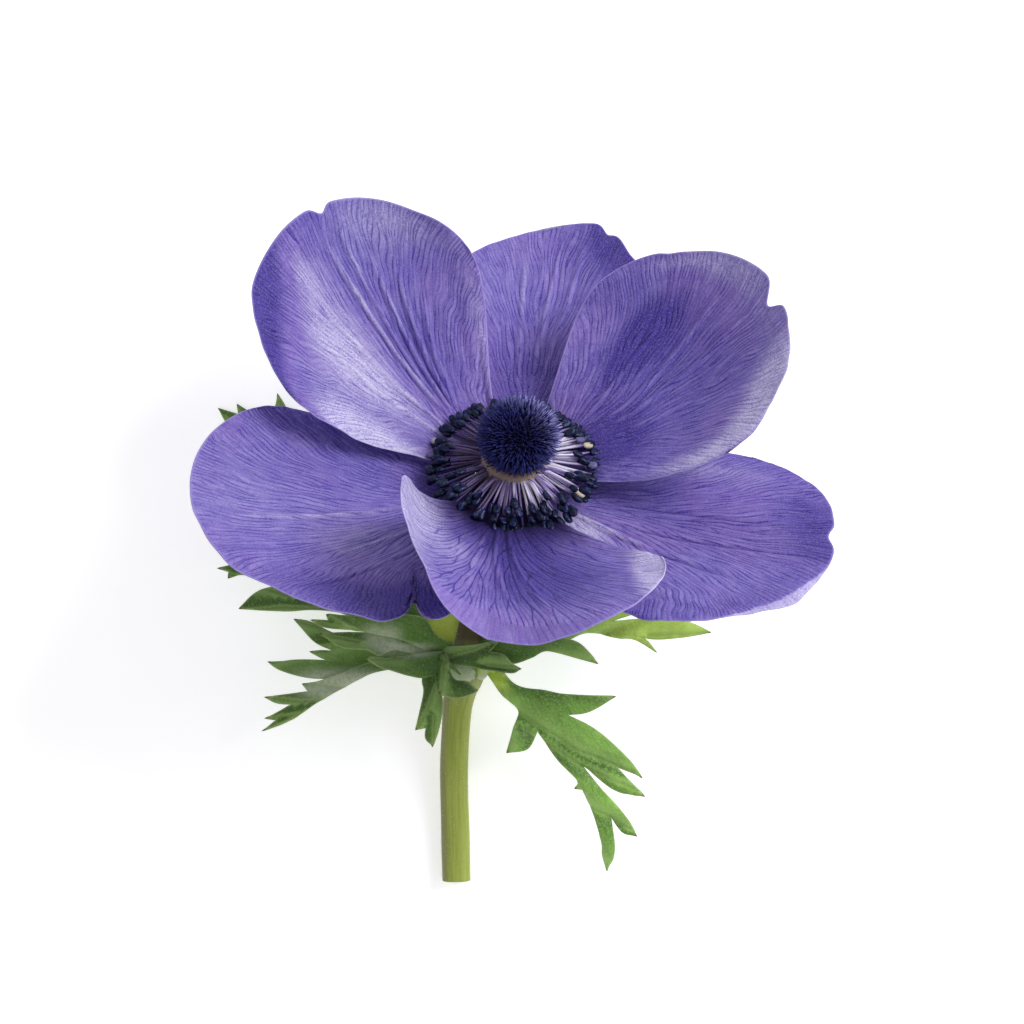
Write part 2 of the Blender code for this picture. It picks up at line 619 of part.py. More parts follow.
def make_pistil(bloom, paint):
    profile = [(NECK_RADIUS, NECK_FOOT), (NECK_RADIUS, NECK_FOOT + 1.5)]
    profile.append((DOME_RADIUS * 0.8, DOME_MIDDLE - 3.2))
    for angle in (-25, 0, 20, 38, 55, 70, 82):
        place = dome_place(angle, 0)
        profile.append((place.x, place.z))
    base = add_object("pistil", *turned(profile, 20), paint, bloom)
    pieces = []
    golden = 180 * (3 - math.sqrt(5))
    lowest = math.sin(math.radians(-25))
    for i in range(STYLE_COUNT):
        angle = math.degrees(math.asin(1 - (1 - lowest) * (i + 0.5) / STYLE_COUNT))
        root = dome_place(angle, i * golden, -STYLE_LENGTH / 2)
        tip = dome_place(angle, i * golden, STYLE_LENGTH / 2)
        mesh = loft(rings_along([root, tip], [STYLE_RADIUS, STYLE_RADIUS * 0.3], 3, (0.3, 0.4, 0.5)))
        pieces.append(add_object(f"style_{i}", *mesh, None, bloom))
    fuse(base, pieces)
    smooth(base, 40)
    return base


def main():
    clear_scene()
    laid = add_empty("laid_flower", ORIGIN_SHIFT)
    # Turned about X first, then leaned about Z, so the bloom's own Z points along bloom_axis()
    bloom = add_empty("bloom", BLOOM_BASE, (-BLOOM_TILT, 0, BLOOM_LEAN), laid)
    bpy.context.view_layer.update()
    petals = make_petals(bloom, material("petal"))
    for petal in petals:
        rest_on_table(petal)
    make_stem(laid, material("stem"))
    leaf_paint = material("leaf")
    for name, leaf in LEAVES.items():
        make_leaf(name, leaf, laid, leaf_paint)
    make_stamens(bloom, material("stamen"))
    make_pistil(bloom, material("pistil"))


main()
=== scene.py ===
"""Fine pieces and finishes for a picked anemone flower that lies on a table, bloom up.

The shapes are worked out in millimetres, as the solids are, and written in metres.  Each fine
piece follows the solid it stands for: the same petal surfaces, leaf outlines and stem line, with
thinner walls, pleats, veins, hairs and a full ring of stamens.
"""

import json
import math
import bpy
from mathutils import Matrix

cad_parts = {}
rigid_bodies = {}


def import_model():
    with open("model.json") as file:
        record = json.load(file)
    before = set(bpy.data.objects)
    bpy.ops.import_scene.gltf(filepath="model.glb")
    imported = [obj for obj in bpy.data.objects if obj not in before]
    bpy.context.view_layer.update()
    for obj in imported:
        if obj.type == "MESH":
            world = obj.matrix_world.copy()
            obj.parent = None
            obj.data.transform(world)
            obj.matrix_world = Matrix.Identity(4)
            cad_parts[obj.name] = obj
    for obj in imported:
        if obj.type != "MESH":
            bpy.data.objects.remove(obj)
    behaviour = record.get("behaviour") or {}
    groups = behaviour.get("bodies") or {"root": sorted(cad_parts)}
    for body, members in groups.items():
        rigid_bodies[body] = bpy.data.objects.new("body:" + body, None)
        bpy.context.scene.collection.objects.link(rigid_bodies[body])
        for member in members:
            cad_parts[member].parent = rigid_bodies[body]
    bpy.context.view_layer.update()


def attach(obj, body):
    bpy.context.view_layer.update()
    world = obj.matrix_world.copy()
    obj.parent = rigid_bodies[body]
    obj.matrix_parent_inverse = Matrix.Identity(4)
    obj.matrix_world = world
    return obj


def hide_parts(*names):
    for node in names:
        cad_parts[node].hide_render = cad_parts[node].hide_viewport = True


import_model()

from types import SimpleNamespace

import bpy
import numpy as np
from mathutils import Matrix, Vector
from mathutils.geometry import delaunay_2d_cdt

BODY = "root"
MM = 0.001
SEED = 7
RIM_REACH = 0.8                        # how far a sheet's rim stands out, as a share of half its thickness

# ---------------------------------------------------------------- where things lie, as in the solids

ORIGIN_SHIFT = Vector((-0.4, 5.2, 0.0))
BLOOM_BASE = Vector((0.1, 4.5, 28.2))
BLOOM_TILT = 40.0
BLOOM_LEAN = -3.0
LAID = Matrix.Translation(ORIGIN_SHIFT)
BLOOM = (LAID @ Matrix.Translation(BLOOM_BASE) @ Matrix.Rotation(math.radians(BLOOM_LEAN), 4, "Z")
         @ Matrix.Rotation(math.radians(-BLOOM_TILT), 4, "X"))

# Petals, with the solids' own shapes
PETAL_THICK = 0.36
PETAL_CLAW = 8.0
PETAL_START = 4.0
UPPER_LAYER = 1.2
PETAL_CELLS = (154, 154)               # across, along
PETAL_RIM = 0.45                       # the margin's thickness, as a share of PETAL_THICK
PETAL_SIDE_CELLS = 0.55                # 0 = even columns, 1 = most of them near the side margins
PETALS = {
    "petal_back_left": dict(
        turn=141.5, length=45.3, width=38.9, layer=1, rise=(2.5, 30, 57), curl=(41, 39),
        rounding=0.41, swell=1.52, sweep=0, twist=-4.5, lopsided=-0.02, clefts=((-0.15, 0.035, 0.03),)),
    "petal_back": dict(
        turn=82.0, length=44.2, width=31.5, layer=0, rise=(4.7, 4.2, 4.5), curl=(13, 29),
        rounding=0.50, swell=0.90, sweep=0, twist=-15.4, lopsided=0.08,
        clefts=((-0.25, 0.05, 0.02),)),
    "petal_back_right": dict(
        turn=29.0, length=42.6, width=36.9, layer=1, rise=(10.7, 20.8, 55.4), curl=(30, 41),
        rounding=0.46, swell=1.35, sweep=1.4, twist=-0.7, lopsided=0.02,
        clefts=((-0.05, 0.06, 0.06), (0.6, 0.06, 0.02))),
    "petal_right": dict(
        turn=-22.3, length=43.2, width=36.7, layer=0, rise=(-1.7, 17.7, 10.5), curl=(11, 9),
        rounding=0.40, swell=0.96, sweep=1, twist=-9.5, lopsided=-0.11, clefts=((0.19, 0.07, 0.03),)),
    "petal_front": dict(
        turn=265.0, length=44.2, width=41.9, layer=1, rise=(6.7, 45, 29.2), curl=(89, 5),
        rounding=0.51, swell=1.51, sweep=27.8, twist=21.2, lopsided=-0.03, clefts=()),
    "petal_left": dict(
        turn=214.9, length=43.4, width=43.7, layer=0, rise=(1.3, 18.8, 22.8), curl=(24, 21),
        rounding=0.45, swell=1.09, sweep=-9.1, twist=3.4, lopsided=-0.05, clefts=()),
}
# What the solids leave out.  Places are (across, along), -1 to 1 and 0 to 1.
# pleats: from one place to another, height; tones: place, width, length, amount (pale painted sheen above
# zero, mostly painted shade below);
# nicks and cuts: place on the margin, place it is cut towards, half width, depth (out where below
# zero), with a round point on a nick and a sharp one on a cut; ruffle: wave of the margin;
# main_veins: how strong they are; wander: how far from straight (1 where left out);
# shade: how dark the painted shade at the foot, under the stamens, is and how far that reaches;
# hem: places of a line past which the margin turns down, with its slope and how pale it is: painted light on
# the turned hem
PETAL_FINISH = {
    "petal_back_left": dict(
        main_veins=0.55, shade=(0.8, 4.5), ruffle=0.3,
        pleats=((-0.17, 0.22, -0.16, 0.86, 0.5), (-0.24, 0.30, -0.30, 0.92, 0.3),
                (-0.31, 0.22, -0.43, 0.78, 0.5), (-0.41, 0.24, -0.57, 0.74, 0.45),
                (-0.47, 0.24, -0.68, 0.60, 0.35), (0.10, 0.15, 0.16, 0.70, 0.25),
                (0.34, 0.12, 0.40, 0.70, 0.25)),
        tones=((0.20, 0.52, 0.22, 0.32, 0.8), (0.10, 0.88, 0.10, 0.12, 0.6), (0.88, 0.46, 0.32, 0.22, 1.4),
               (0.55, 1.0, 0.45, 0.16, -2.2), (-0.9, 0.55, 0.12, 0.3, 0.35), (-0.30, 0.40, 0.2, 0.2, -0.35),
               (-0.42, 0.92, 0.4, 0.14, 0.5)),
        nicks=((0.22, 1.0, 0.15, 0.7, 5.0, 0.6), (0.75, 1.0, 0.6, 0.8, 5.0, 0.3),
               (-0.62, 1.0, -0.5, 0.8, 4.5, 0.4)), hem=None),
    "petal_back": dict(
        main_veins=0.5, shade=(0.8, 6.0), ruffle=0.1,
        pleats=((0.06, 0.3, 0.05, 0.9, 0.3), (0.25, 0.3, 0.35, 0.9, 0.25), (-0.1, 0.3, -0.18, 0.9, 0.3)),
        tones=((-0.55, 0.85, 0.35, 0.4, -0.7), (-0.32, 0.98, 0.2, 0.12, -1.0), (0.35, 0.8, 0.3, 0.4, 0.2),
               (0.1, 0.30, 0.8, 0.22, -0.7), (-0.22, 1.0, 0.06, 0.04, -1.0)),
        nicks=((-0.12, 1.0, -0.08, 0.8, 2.2, -0.3), (0.35, 1.0, 0.3, 0.8, 7.0, 0.7),
               (-0.48, 1.0, -0.42, 0.8, 2.2, 0.7), (-0.20, 1.0, -0.16, 0.8, 1.6, -0.4)), hem=None),
    "petal_back_right": dict(
        main_veins=0.5, shade=(0.8, 6.0), ruffle=0.3,
        pleats=((0.12, 0.2, 0.36, 0.9, 0.3), (-0.02, 0.2, 0.02, 0.9, 0.35), (-0.25, 0.2, -0.3, 0.85, 0.3),
                (0.45, 0.2, 0.62, 0.8, 0.25)),
        tones=((-0.55, 0.93, 0.25, 0.17, 1.3), (-0.85, 0.70, 0.18, 0.25, 0.7),
               (0.42, 0.57, 0.16, 0.22, -1.2), (0.15, 0.62, 0.28, 0.26, -0.4), (-0.2, 0.23, 0.45, 0.15, -1.4),
               (0.35, 0.95, 0.35, 0.10, 0.55), (0.0, 0.95, 0.3, 0.08, 0.2), (-0.3, 0.55, 0.25, 0.2, -0.2)),
        nicks=((-0.02, 1.0, 0.0, 0.8, 2.0, 0.35), (-0.32, 1.0, -0.3, 0.8, 3.0, 0.28),
               (-0.58, 1.0, -0.5, 0.8, 3.0, -0.7), (0.50, 1.0, 0.45, 0.8, 2.5, 0.35)), hem=None),
    "petal_right": dict(
        main_veins=0.6, shade=(0.7, 4.0), ruffle=0.25,
        pleats=((-0.18, 0.3, 0.02, 0.95, -0.35), (-0.38, 0.35, -0.42, 0.8, -0.3),
                (0.18, 0.2, 0.3, 0.85, -0.25), (-0.28, 0.15, -0.40, 0.5, 0.4)),
        tones=((0.62, 0.60, 0.16, 0.28, 0.45), (0.05, 0.55, 0.3, 0.3, -0.4), (-0.35, 0.20, 0.25, 0.12, 1.0),
               (0.2, 0.94, 0.35, 0.12, -0.8), (-0.45, 0.93, 0.2, 0.10, -0.5), (0.2, 0.25, 0.2, 0.2, -0.3)),
        nicks=((-0.33, 1.0, -0.3, 0.8, 4.0, -0.8), (0.32, 1.0, 0.28, 0.8, 3.0, 0.4),
               (-0.62, 1.0, -0.55, 0.8, 3.0, 0.4)),
        hem=(((-1, 1.1), (-0.66, 1.0), (-0.5, 0.98), (-0.3, 0.965), (-0.15, 0.978), (-0.02, 1.0), (1, 1.1)),
             0.5, 0.9)),
    "petal_front": dict(
        main_veins=1.15, wander=0.4, shade=(1.5, 10.0), ruffle=0.2,
        pleats=((-0.15, 0.15, -0.1, 0.8, 0.3), (0.08, 0.15, 0.1, 0.9, 0.3), (-0.35, 0.2, -0.4, 0.7, 0.25)),
        tones=((-0.80, 0.70, 0.30, 0.5, 1.1), (-0.30, 0.42, 0.18, 0.16, 0.5), (0.84, 0.95, 0.26, 0.22, 3.0),
               (0.7, 0.6, 0.2, 0.3, -0.15),
               (0.1, 0.14, 1.0, 0.16, -1.6), (0.10, 0.50, 0.30, 0.34, -1.1), (0.45, 0.60, 0.2, 0.25, -0.4)),
        nicks=(),
        hem=(((-1, 1.1), (-0.55, 1.0), (-0.40, 0.92), (-0.24, 0.86), (-0.12, 0.92), (0.09, 0.955),
              (0.24, 0.975), (0.45, 1.0), (1, 1.1)), 0.3, -0.2)),
    "petal_left": dict(
        main_veins=0.6, shade=(0.9, 6.0), ruffle=0.2,
        pleats=((-0.2, 0.2, -0.25, 0.9, 0.25), (0.15, 0.2, 0.25, 0.9, 0.2), (0.45, 0.3, 0.5, 0.9, -0.25)),
        tones=((-0.25, 0.85, 0.45, 0.25, 0.25), (0.1, 0.55, 0.3, 0.25, 0.3), (0.75, 0.70, 0.3, 0.4, -0.8),
               (0.40, 0.80, 0.35, 0.18, -0.8), (-0.9, 0.40, 0.2, 0.3, -0.5), (-0.3, 0.15, 0.6, 0.12, -0.9)),
        cuts=((0.94, 1.0, 0.625, 0.63, 0.77, 7.1),),
        nicks=((0.80, 1.0, 0.50, 0.64, 1.7, -2.0), (1.0, 0.956, 0.68, 0.596, 3.4, -2.3)), hem=None),
}
# Veins fan out from behind the claw, bend towards the side margins and fork as they part
VEIN_SPACING = 0.62
VEIN_WIDTH = 0.145
MAIN_VEIN_SPACING = 1.5
MAIN_VEIN_WIDTH = 0.22
VEIN_ORIGIN = 0.15                     # how far behind the claw they start, in petal lengths
VEIN_BEND = 2.0                        # 1 = straight rays, more = bent outwards
VEIN_TURN = 0.12                       # how much more they bend at the side margins
VEIN_DEPTH = 0.07                      # of the grooves along the main veins
# How the veins wander: millimetres, bumps for each millimetre, how much longer than wide
VEIN_WANDER = ((0.35, 1 / 11, 1), (0.05, 1 / 3.5, 1), (0.25, 0.35, 6))
PLEAT_WIDTH = 0.33
PLEAT_HEIGHT = 1.5
PLEAT_PAINTED_LIGHT = 1.8                       # painted highlight on a pleat's crest, and painted shade in its valleys
NICK_POINT = 2.0                       # 2 = a round nick
CUT_POINT = 1.2                        # 1 = a cut with a sharp point
CUT_CELLS = (0.055, 31)                # finer columns beside a cut: how far to each side, how many
# Gentle waves of a petal: height, bumps across and along, how many add up, where they start and are full
PETAL_WAVES = ((0.09, 4.0, 2.0, 9, 0.0, 0.3), (0.04, 9.0, 1.5, 9, 0.1, 0.4), (0.3, 0.9, 1.2, 5, 0.25, 0.7))

# Stem: points of its centre line with the radius there, then the head along the bloom's axis
STEM_LINE = [
    ((-8.2, -54.4, 1.92), 2.10),
    ((-8.3, -48.0, 1.92), 2.10),
    ((-8.5, -41.0, 2.7), 2.05),
    ((-8.4, -34.5, 3.9), 2.05),
    ((-8.0, -29.0, 5.3), 2.15),
    ((-7.5, -26.0, 6.3), 2.4),
    ((-7.0, -24.0, 7.1), 2.9),
    ((-6.8, -22.3, 7.9), 2.8),
    ((-6.5, -20.3, 8.9), 2.2),
    ((-5.4, -15.0, 12.0), 1.9),
    ((-3.4, -7.5, 17.3), 1.9),
    ((-1.4, -1.0, 22.9), 2.0),
]
STEM_HEAD = [(-2.8, 2.3), (-1.6, 3.6), (-0.9, 5.0), (-0.7, 5.0), (-0.7, 3.6), (3.4, 3.5)]
STEM_SIDES = 48
STEM_RINGS = 220
HEAD_RINGS = 30
STEM_RIBS = 11
STEM_RIB_HEIGHT = 0.007                # of the stem's radius
# The cut end: how wide each ring is, as a share of the stem, and how far in; the face is a little hollow
STEM_END = ((0.02, 0.5), (0.5, 0.45), (0.8, 0.2), (0.93, 0.02))

# Stamens
ANTHER_ROWS = [
    # count, reach from the bloom's axis, height, spread of both
    dict(count=62, reach=11.0, height=3.2, spread=0.25),
    dict(count=56, reach=10.2, height=4.1, spread=0.3),
    dict(count=44, reach=9.2, height=4.9, spread=0.35),
    dict(count=12, reach=8.3, height=5.9, spread=0.5),
]
ANTHER_LENGTH = 1.75
ANTHER_WIDTH = 1.08
ANTHER_RINGS = 10
ANTHER_SIDES = 12
FILAMENT_RADIUS = 0.16
FILAMENT_RINGS = 9
FILAMENT_SIDES = 6
FILAMENT_FOOT = (4.5, 4.8)             # distance from the axis, height
STAMEN_SIZES = dict(Count=50, Reach=11.0, Height=4.4, Spread=0.5, Seed=1)

# Pistil
DOME_RADIUS = 4.5
DOME_HALF_HEIGHT = 3.75
DOME_MIDDLE = 9.4
DOME_ASIDE = 0.55                      # the dome leans this far towards +X
DOME_SIDES = 48
NECK_RADIUS = 3.3
NECK_FOOT = 3.7
STYLES = dict(Density=12.0 / MM ** 2, Length=1.5, Radius=0.13, Lean=0.14, Seed=SEED)

# Leaves
LEAF_THICK = 0.4
LEAF_RIM = 0.5                         # the margin's thickness, as a share of LEAF_THICK
LEAF_LOWEST = 0.12                     # the blade's middle surface stays this far off the floor
GROOVE_DEPTH = 0.2
GROOVE_WIDTH = 0.3
PILLOW_SLOPE = 0.32                    # how fast the blade rises beside a rib, up to PILLOW_REACH
PILLOW_REACH = 1.8
RIM_DROP = 0.12
NODE_AT = Vector((-6.8, -22.3, 7.9))
SHEATH_INNER = 1.9
SHEATH_OUTER = 3.6
SHEATH_LENGTH = 3.6
SHEATH_SIDES = 14
STALK_RADIUS = 0.6
STALK_SIDES = 10
STALK_RINGS = 22
CORNER = 62                            # degrees: an outline's sharper bends stay corners
LOBE_CORNER = 55                       # degrees: and these hold the end of a rib
LEAF_GRID = 0.42
LEAVES = {
    # root, tip: plan position; rise: height at the root, halfway handle and tip; roll: turned about its
    # own line; keel: how far each half folds up; sheath: where its foot clasps the stem, 90 = on top;
    # outline: (along, across) from the root's right side round the tip, across positive to the left
    "bract_front": dict(sheath=(62, 200), blades=(
        dict(root=(-9.5, -21.0), tip=(1.0, -23.0), rise=(11.6, 15.5, 14.0), roll=-15, keel=12, outline=(
            (-2, -1), (3.5, -0.8), (7, -0.6), (9.5, -0.5), (11, 0.5), (9.5, 1), (8, 2), (6, 2),
            (6.5, 3), (7, 4), (3.5, 2.5), (-2, 1))),
        dict(root=(-10.0, -21.0), tip=(-5.0, -25.5), rise=(12.4, 17.5, 15.5), roll=0, keel=0, outline=(
            (-2, -1), (0, -1.5), (1.5, -3), (3, -4), (5, -3), (6.5, -1), (7, 0), (5, 0), (3.5, -1),
            (2, -0.5), (0.5, 0.5), (-2, 1))),
        dict(root=(-11.0, -21.5), tip=(-11.5, -34.0), rise=(11.8, 17.0, 12.5), roll=10, keel=10, outline=(
            (-2, -1), (1, -1.5), (3, -1.8), (4.5, -1.5), (7.5, -2), (10, -2.5), (9.5, -1), (11, -1),
            (12.5, 0), (9.5, 1), (6, 1.5), (3.5, 1), (-2, 1))),
        dict(root=(-11.0, -21.0), tip=(-21.0, -21.0), rise=(11.8, 15.5, 14.2), roll=12, keel=10, outline=(
            (-2, -1), (2.5, -0.6), (4.5, -0.1), (6.5, 0), (9, -0.2), (10, 0), (8, 1.5), (6.5, 2),
            (3.5, 3), (1.5, 3), (-2, 1.5))),
        dict(root=(-11.0, -20.0), tip=(-29.0, -15.5), rise=(10.9, 14.5, 15.0), roll=-10, keel=8, outline=(
            (-2, -1.5), (1, -2.5), (3.5, -4.5), (7.5, -4), (12.5, -2.5), (15, -1.8), (16.5, -1.4), (16, -0.6),
            (18.5, 0), (16.5, 0.5), (13.5, 0.2), (10, -0.2), (5, -0.5), (-2, 1))),
        dict(root=(-11.5, -20.5), tip=(-28.0, -17.5), rise=(10.5, 12.5, 12.0), roll=5, keel=10, outline=(
            (-2, -1), (3.5, -1.5), (7, -1.8), (12, -1), (16.5, 0), (15, 0.7), (13, 1.5), (9.5, 1.2),
            (7.5, 1.7), (6, 0.6), (3, 0.5), (-2, 1))),
        dict(root=(-11.5, -21.0), tip=(-32.0, -15.5), rise=(9.0, 8.0, 8.0), roll=0, keel=6, outline=(
            (-2, -1), (5.5, -0.2), (9, 0.3), (12.5, 0.8), (15.5, 0.4), (18.5, -0.2), (21, 0), (19.5, 1),
            (17, 2.5), (14, 3), (16, 3.4), (17.5, 4), (15, 4.5), (12, 4), (18.5, 5.5), (21, 6.4),
            (23, 7), (21, 7.7), (17.5, 7.8), (14.5, 7.3), (12, 6.4), (8.5, 4), (4, 2), (-2, 1))),
        dict(root=(-11.5, -21.5), tip=(-36.5, -32.0), rise=(10.7, 12.0, 7.0), roll=0, keel=-8, outline=(
            (-2, -1), (0.5, -0.8), (5, -2.6), (9.5, -3.3), (13.5, -3.4), (16.5, -3.6), (19, -4.2),
            (18.5, -2.8), (22, -3.7), (25, -4.5), (23.5, -3), (21.5, -2), (24, -1.7), (26, -1.6),
            (24.5, -0.7), (27, 0), (23, 0.1), (17.5, -0.9), (11, -1.6), (7, -1.4), (-2, 1))))),
    "bract_right": dict(sheath=(-72, 54), blades=(
        dict(root=(-3.0, -23.0), tip=(14.0, -53.0), rise=(7.4, 11.5, 0.2), roll=0, keel=8, outline=(
            (-2, -1), (3.5, -0.5), (7, 0.5), (9, -1.5), (11.5, -4), (12.5, -1), (11, 1.5), (16, 2),
            (20, 3), (21, 2), (21.5, 3), (26, 2.5), (30, 1.5), (32, 0.6), (34.5, 0), (32, 2.5),
            (27.5, 4.5), (30, 5), (31.5, 6.5), (27.5, 6.5), (18, 4.5), (23.5, 7), (25.5, 9), (26.5, 10.5),
            (21, 9), (24, 11.5), (20, 11), (14.5, 9), (11, 6.5), (12, 9.5), (12, 14), (8.5, 8),
            (6.5, 5.5), (3.5, 2), (-2, 1))),
        dict(root=(-5.0, -20.0), tip=(12.5, -22.0), rise=(10.6, 14.0, 10.5), roll=-10, keel=10, outline=(
            (-1, -1), (1.5, -1), (3.5, -1.5), (5.5, -1.5), (7.5, -0.5), (9.5, 1), (11.5, 1), (14.5, 0.5),
            (17.6, 0), (16, 1.5), (13.5, 3), (8, 3.2), (3, 2.6), (-1, 1))),
        dict(root=(-4.5, -19.5), tip=(29.0, -17.5), rise=(8.0, 7.5, 9.0), roll=0, keel=8, outline=(
            (-1.5, -0.9), (6, -0.6), (12, 0), (15.5, 1), (20, 0), (22.5, -0.5), (25.5, -2.5), (24, -0.5),
            (22, 0.5),
            (25, -0.5), (29, -0.5), (33.5, 0), (31, 1.5), (28, 2.5), (19, 2.5), (26.5, 4.5),
            (29.5, 6.5), (25, 6.5), (21, 5), (14.5, 3), (6, 1), (-1.5, 0.9))))),
    "bract_back": dict(sheath=(210, 278), blades=(
        dict(root=(-12.0, -19.0), tip=(-44.0, 16.0), rise=(5.0, 4.0, 0.1), roll=0, keel=5, outline=(
            (-3.2, -2.6), (0, -9), (7, -9.5), (14, -7.5), (20, -7.5), (25, -9.5), (30, -11), (35, -10.5),
            (30.5, -8), (19, -4.5), (29, -6), (35, -6.5), (42, -8), (39, -5), (31, -2.2), (38, -3),
            (42.5, -3), (45, -2.5),
            (43.8, -1.6), (46.5, 0), (44, 0.6), (37.5, 1.5), (26.5, 3), (14.5, 3.5), (5, 2), (-2, 1))),
        dict(root=(-12.0, -19.5), tip=(-43.5, -8.0), rise=(5.6, 7.0, 6.5), roll=0, keel=6, outline=(
            (-1.5, -1), (6, -3), (12.5, -5), (18, -6.5), (24.5, -8.5), (30, -8.5), (25, -6), (18, -3.8),
            (25, -4), (29, -3), (31.5, -1), (33, 0), (31.3, 0), (31, 0.9), (29.5, -0.2), (26, -1.2),
            (20, -2), (24.5, -0.2), (26.5, 1.5), (28, 4.5), (21.5, 2.5), (18, 1), (14, 0), (8, -0.2),
            (-1.5, 1))))),
}

# How light each blade's green is, 0 to 1: partly the blade's own green and partly painted light, lighter on
# the blades that catch the light
LEAF_TONES_AND_LIGHT = {
    "bract_front": (0.35, 0.3, 0.4, 0.38, 0.4, 0.35, 0.36, 0.3),
    "bract_right": (0.88, 0.4, 1.0),
    "bract_back": (0.4, 0.35),
}
# Silvery spots, and spots of painted light where light shines through a blade: middle and half size in plan,
# amount
LEAF_SILVER = {
    "bract_front": ((-15.4, -19.9, 4.0, 1.0, 0.9), (-18.6, -18.0, 2.6, 1.8, 0.75),
                    (-25.0, -25.0, 6.0, 2.2, 1.0)),
}
LEAF_PAINTED_LIGHT = {
    "bract_back": ((-10.0, -16.5, 2.6, 3.0, 0.95),),
    "bract_right": ((-3.0, -24.0, 2.5, 2.5, 0.6), (21.0, -17.5, 9.0, 3.5, 0.35)),
}
# What the material reads on the parts of a leaf that are no blade
STALK_FINISH = dict(rib=0.5, margin=9.0, tip=9.0, under=0.3)
SHEATH_FINISH = dict(rib=0.4, margin=9.0, tip=9.0, under=0.5, silver=1.0, tone=0.5)

# Fine pale hairs on stem and leaves
STEM_HAIRS = dict(Density=0.7 / MM ** 2, Length=0.5, Radius=0.016, Lean=0.6, Seed=SEED)
LEAF_HAIRS = dict(Density=0.4 / MM ** 2, Length=0.4, Radius=0.011, Lean=0.6, Seed=SEED)

# Camera and light
CAMERA_AT = (-0.4, 5.2, 505.0)
CAMERA_LENS = 120.0
FLOOR_SIZE = 3.0                       # metres
FLOOR_GLOW = 0.45
SKY_GLOW = 0.58
WINDOW = dict(place=(0.80, 0.55, 0.80), aim=(0.0, 0.0, 0.03), size=0.7, power=12.0)   # metres, watts


# ---------------------------------------------------------------- helpers for meshes

def new_piece(name, verts, faces, paint, place=None):
    """An object from points in millimetres, moved by place, with its mesh in metres."""
    points = np.array(verts, float)
    if place is not None:
        turn = np.array(place.to_3x3())
        points = points @ turn.T + np.array(place.translation)
        points[:, 2] = np.maximum(points[:, 2], 0.0)
    mesh = bpy.data.meshes.new(name)
    mesh.from_pydata((points * MM).tolist(), [], [tuple(int(i) for i in f) for f in faces])
    mesh.shade_smooth()
    mesh.materials.append(paint)
    item = bpy.data.objects.new(name, mesh)
    bpy.context.scene.collection.objects.link(item)
    return item


def add_values(item, name, values):
    layer = item.data.attributes.new(name, "FLOAT", "POINT")
    layer.data.foreach_set("value", np.asarray(values, np.float32).ravel())


def add_uv(item, flat):
    """A UV map from one (u, v) for each vertex."""
    layer = item.data.uv_layers.new(name="along")
    corners = np.empty(len(item.data.loops), np.int32)
    item.data.loops.foreach_get("vertex_index", corners)
    layer.data.foreach_set("uv", np.asarray(flat, np.float32)[corners].ravel())


def hand_over(piece, slot, *nodes):
    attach(piece, BODY)
    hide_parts(*nodes)


def loft(rings):
    """Points and faces of a closed body through rings of points, flat at both ends."""
    sides = len(rings[0])
    verts = [tuple(point) for ring in rings for point in ring]
    faces = [tuple(reversed(range(sides)))]
    for start in range(0, (len(rings) - 1) * sides, sides):
        for i in range(sides):
            j = (i + 1) % sides
            faces.append((start + i, start + j, start + sides + j, start + sides + i))
    last = (len(rings) - 1) * sides
    faces.append(tuple(range(last, last + sides)))
    return verts, faces


def ring(centre, across, up, radius, sides):
    step = 2 * math.pi / sides
    return [centre + radius * (math.cos(i * step) * across + math.sin(i * step) * up)
            for i in range(sides)]


def rings_along(centres, radii, sides, first_across):
    """Rings square to a line, carried along it without twisting."""
    rings = []
    across = Vector(first_across)
    for i, centre in enumerate(centres):
        ahead = centres[min(i + 1, len(centres) - 1)] - centres[max(i - 1, 0)]
        ahead.normalize()
        across = (across - across.dot(ahead) * ahead).normalized()
        rings.append(ring(centre, across, ahead.cross(across), radii[i], sides))
    return rings


def turned(profile, sides):
    """Points and faces of a profile of (radius, height) turned about Z, closed at both ends."""
    rings = [ring(Vector((0, 0, h)), Vector((1, 0, 0)), Vector((0, 1, 0)), r, sides)
             for r, h in profile]
    return loft(rings)


def sheet_normals(points, triangles):
    corners = points[triangles]
    across = np.cross(corners[:, 1] - corners[:, 0], corners[:, 2] - corners[:, 0])
    normals = np.zeros_like(points)
    for k in range(3):
        np.add.at(normals, triangles[:, k], across)
    return normals / np.maximum(np.linalg.norm(normals, axis=1), 1e-12)[:, None]


def thick_sheet(points, triangles, thick):
    """A closed sheet: both skins lie half the thickness from the given surface, with a rounded rim.
    Vertices come in three runs: upper skin, lower skin, rim."""
    normals = sheet_normals(points, triangles)
    half = (thick / 2)[:, None]
    count = len(points)
    directed = {(int(t[i]), int(t[(i + 1) % 3])) for t in triangles for i in range(3)}
    border = [(a, b) for a, b in sorted(directed) if (b, a) not in directed]
    outward = {}
    for a, b in border:
        out = np.cross(points[b] - points[a], normals[a])
        out = out / max(np.linalg.norm(out), 1e-12)
        for k in (a, b):
            outward[k] = outward.get(k, 0) + out
    rim = sorted(outward)
    rim_of = {k: 2 * count + i for i, k in enumerate(rim)}
    out = np.array([outward[k] / max(np.linalg.norm(outward[k]), 1e-12) for k in rim])
    rim_points = points[rim] + out * half[rim] * RIM_REACH
    verts = np.concatenate([points + normals * half, points - normals * half, rim_points])
    faces = [tuple(t) for t in triangles]
    faces += [(t[0] + count, t[2] + count, t[1] + count) for t in triangles]
    for a, b in border:
        ra, rb = rim_of[a], rim_of[b]
        faces += [(b, a, ra), (b, ra, rb), (rb, ra, a + count), (rb, a + count, b + count)]
    order = np.concatenate([np.arange(count), np.arange(count), rim])
    side = np.concatenate([np.zeros(count), np.ones(count), np.full(len(rim), 0.5)])
    return verts, faces, order, side


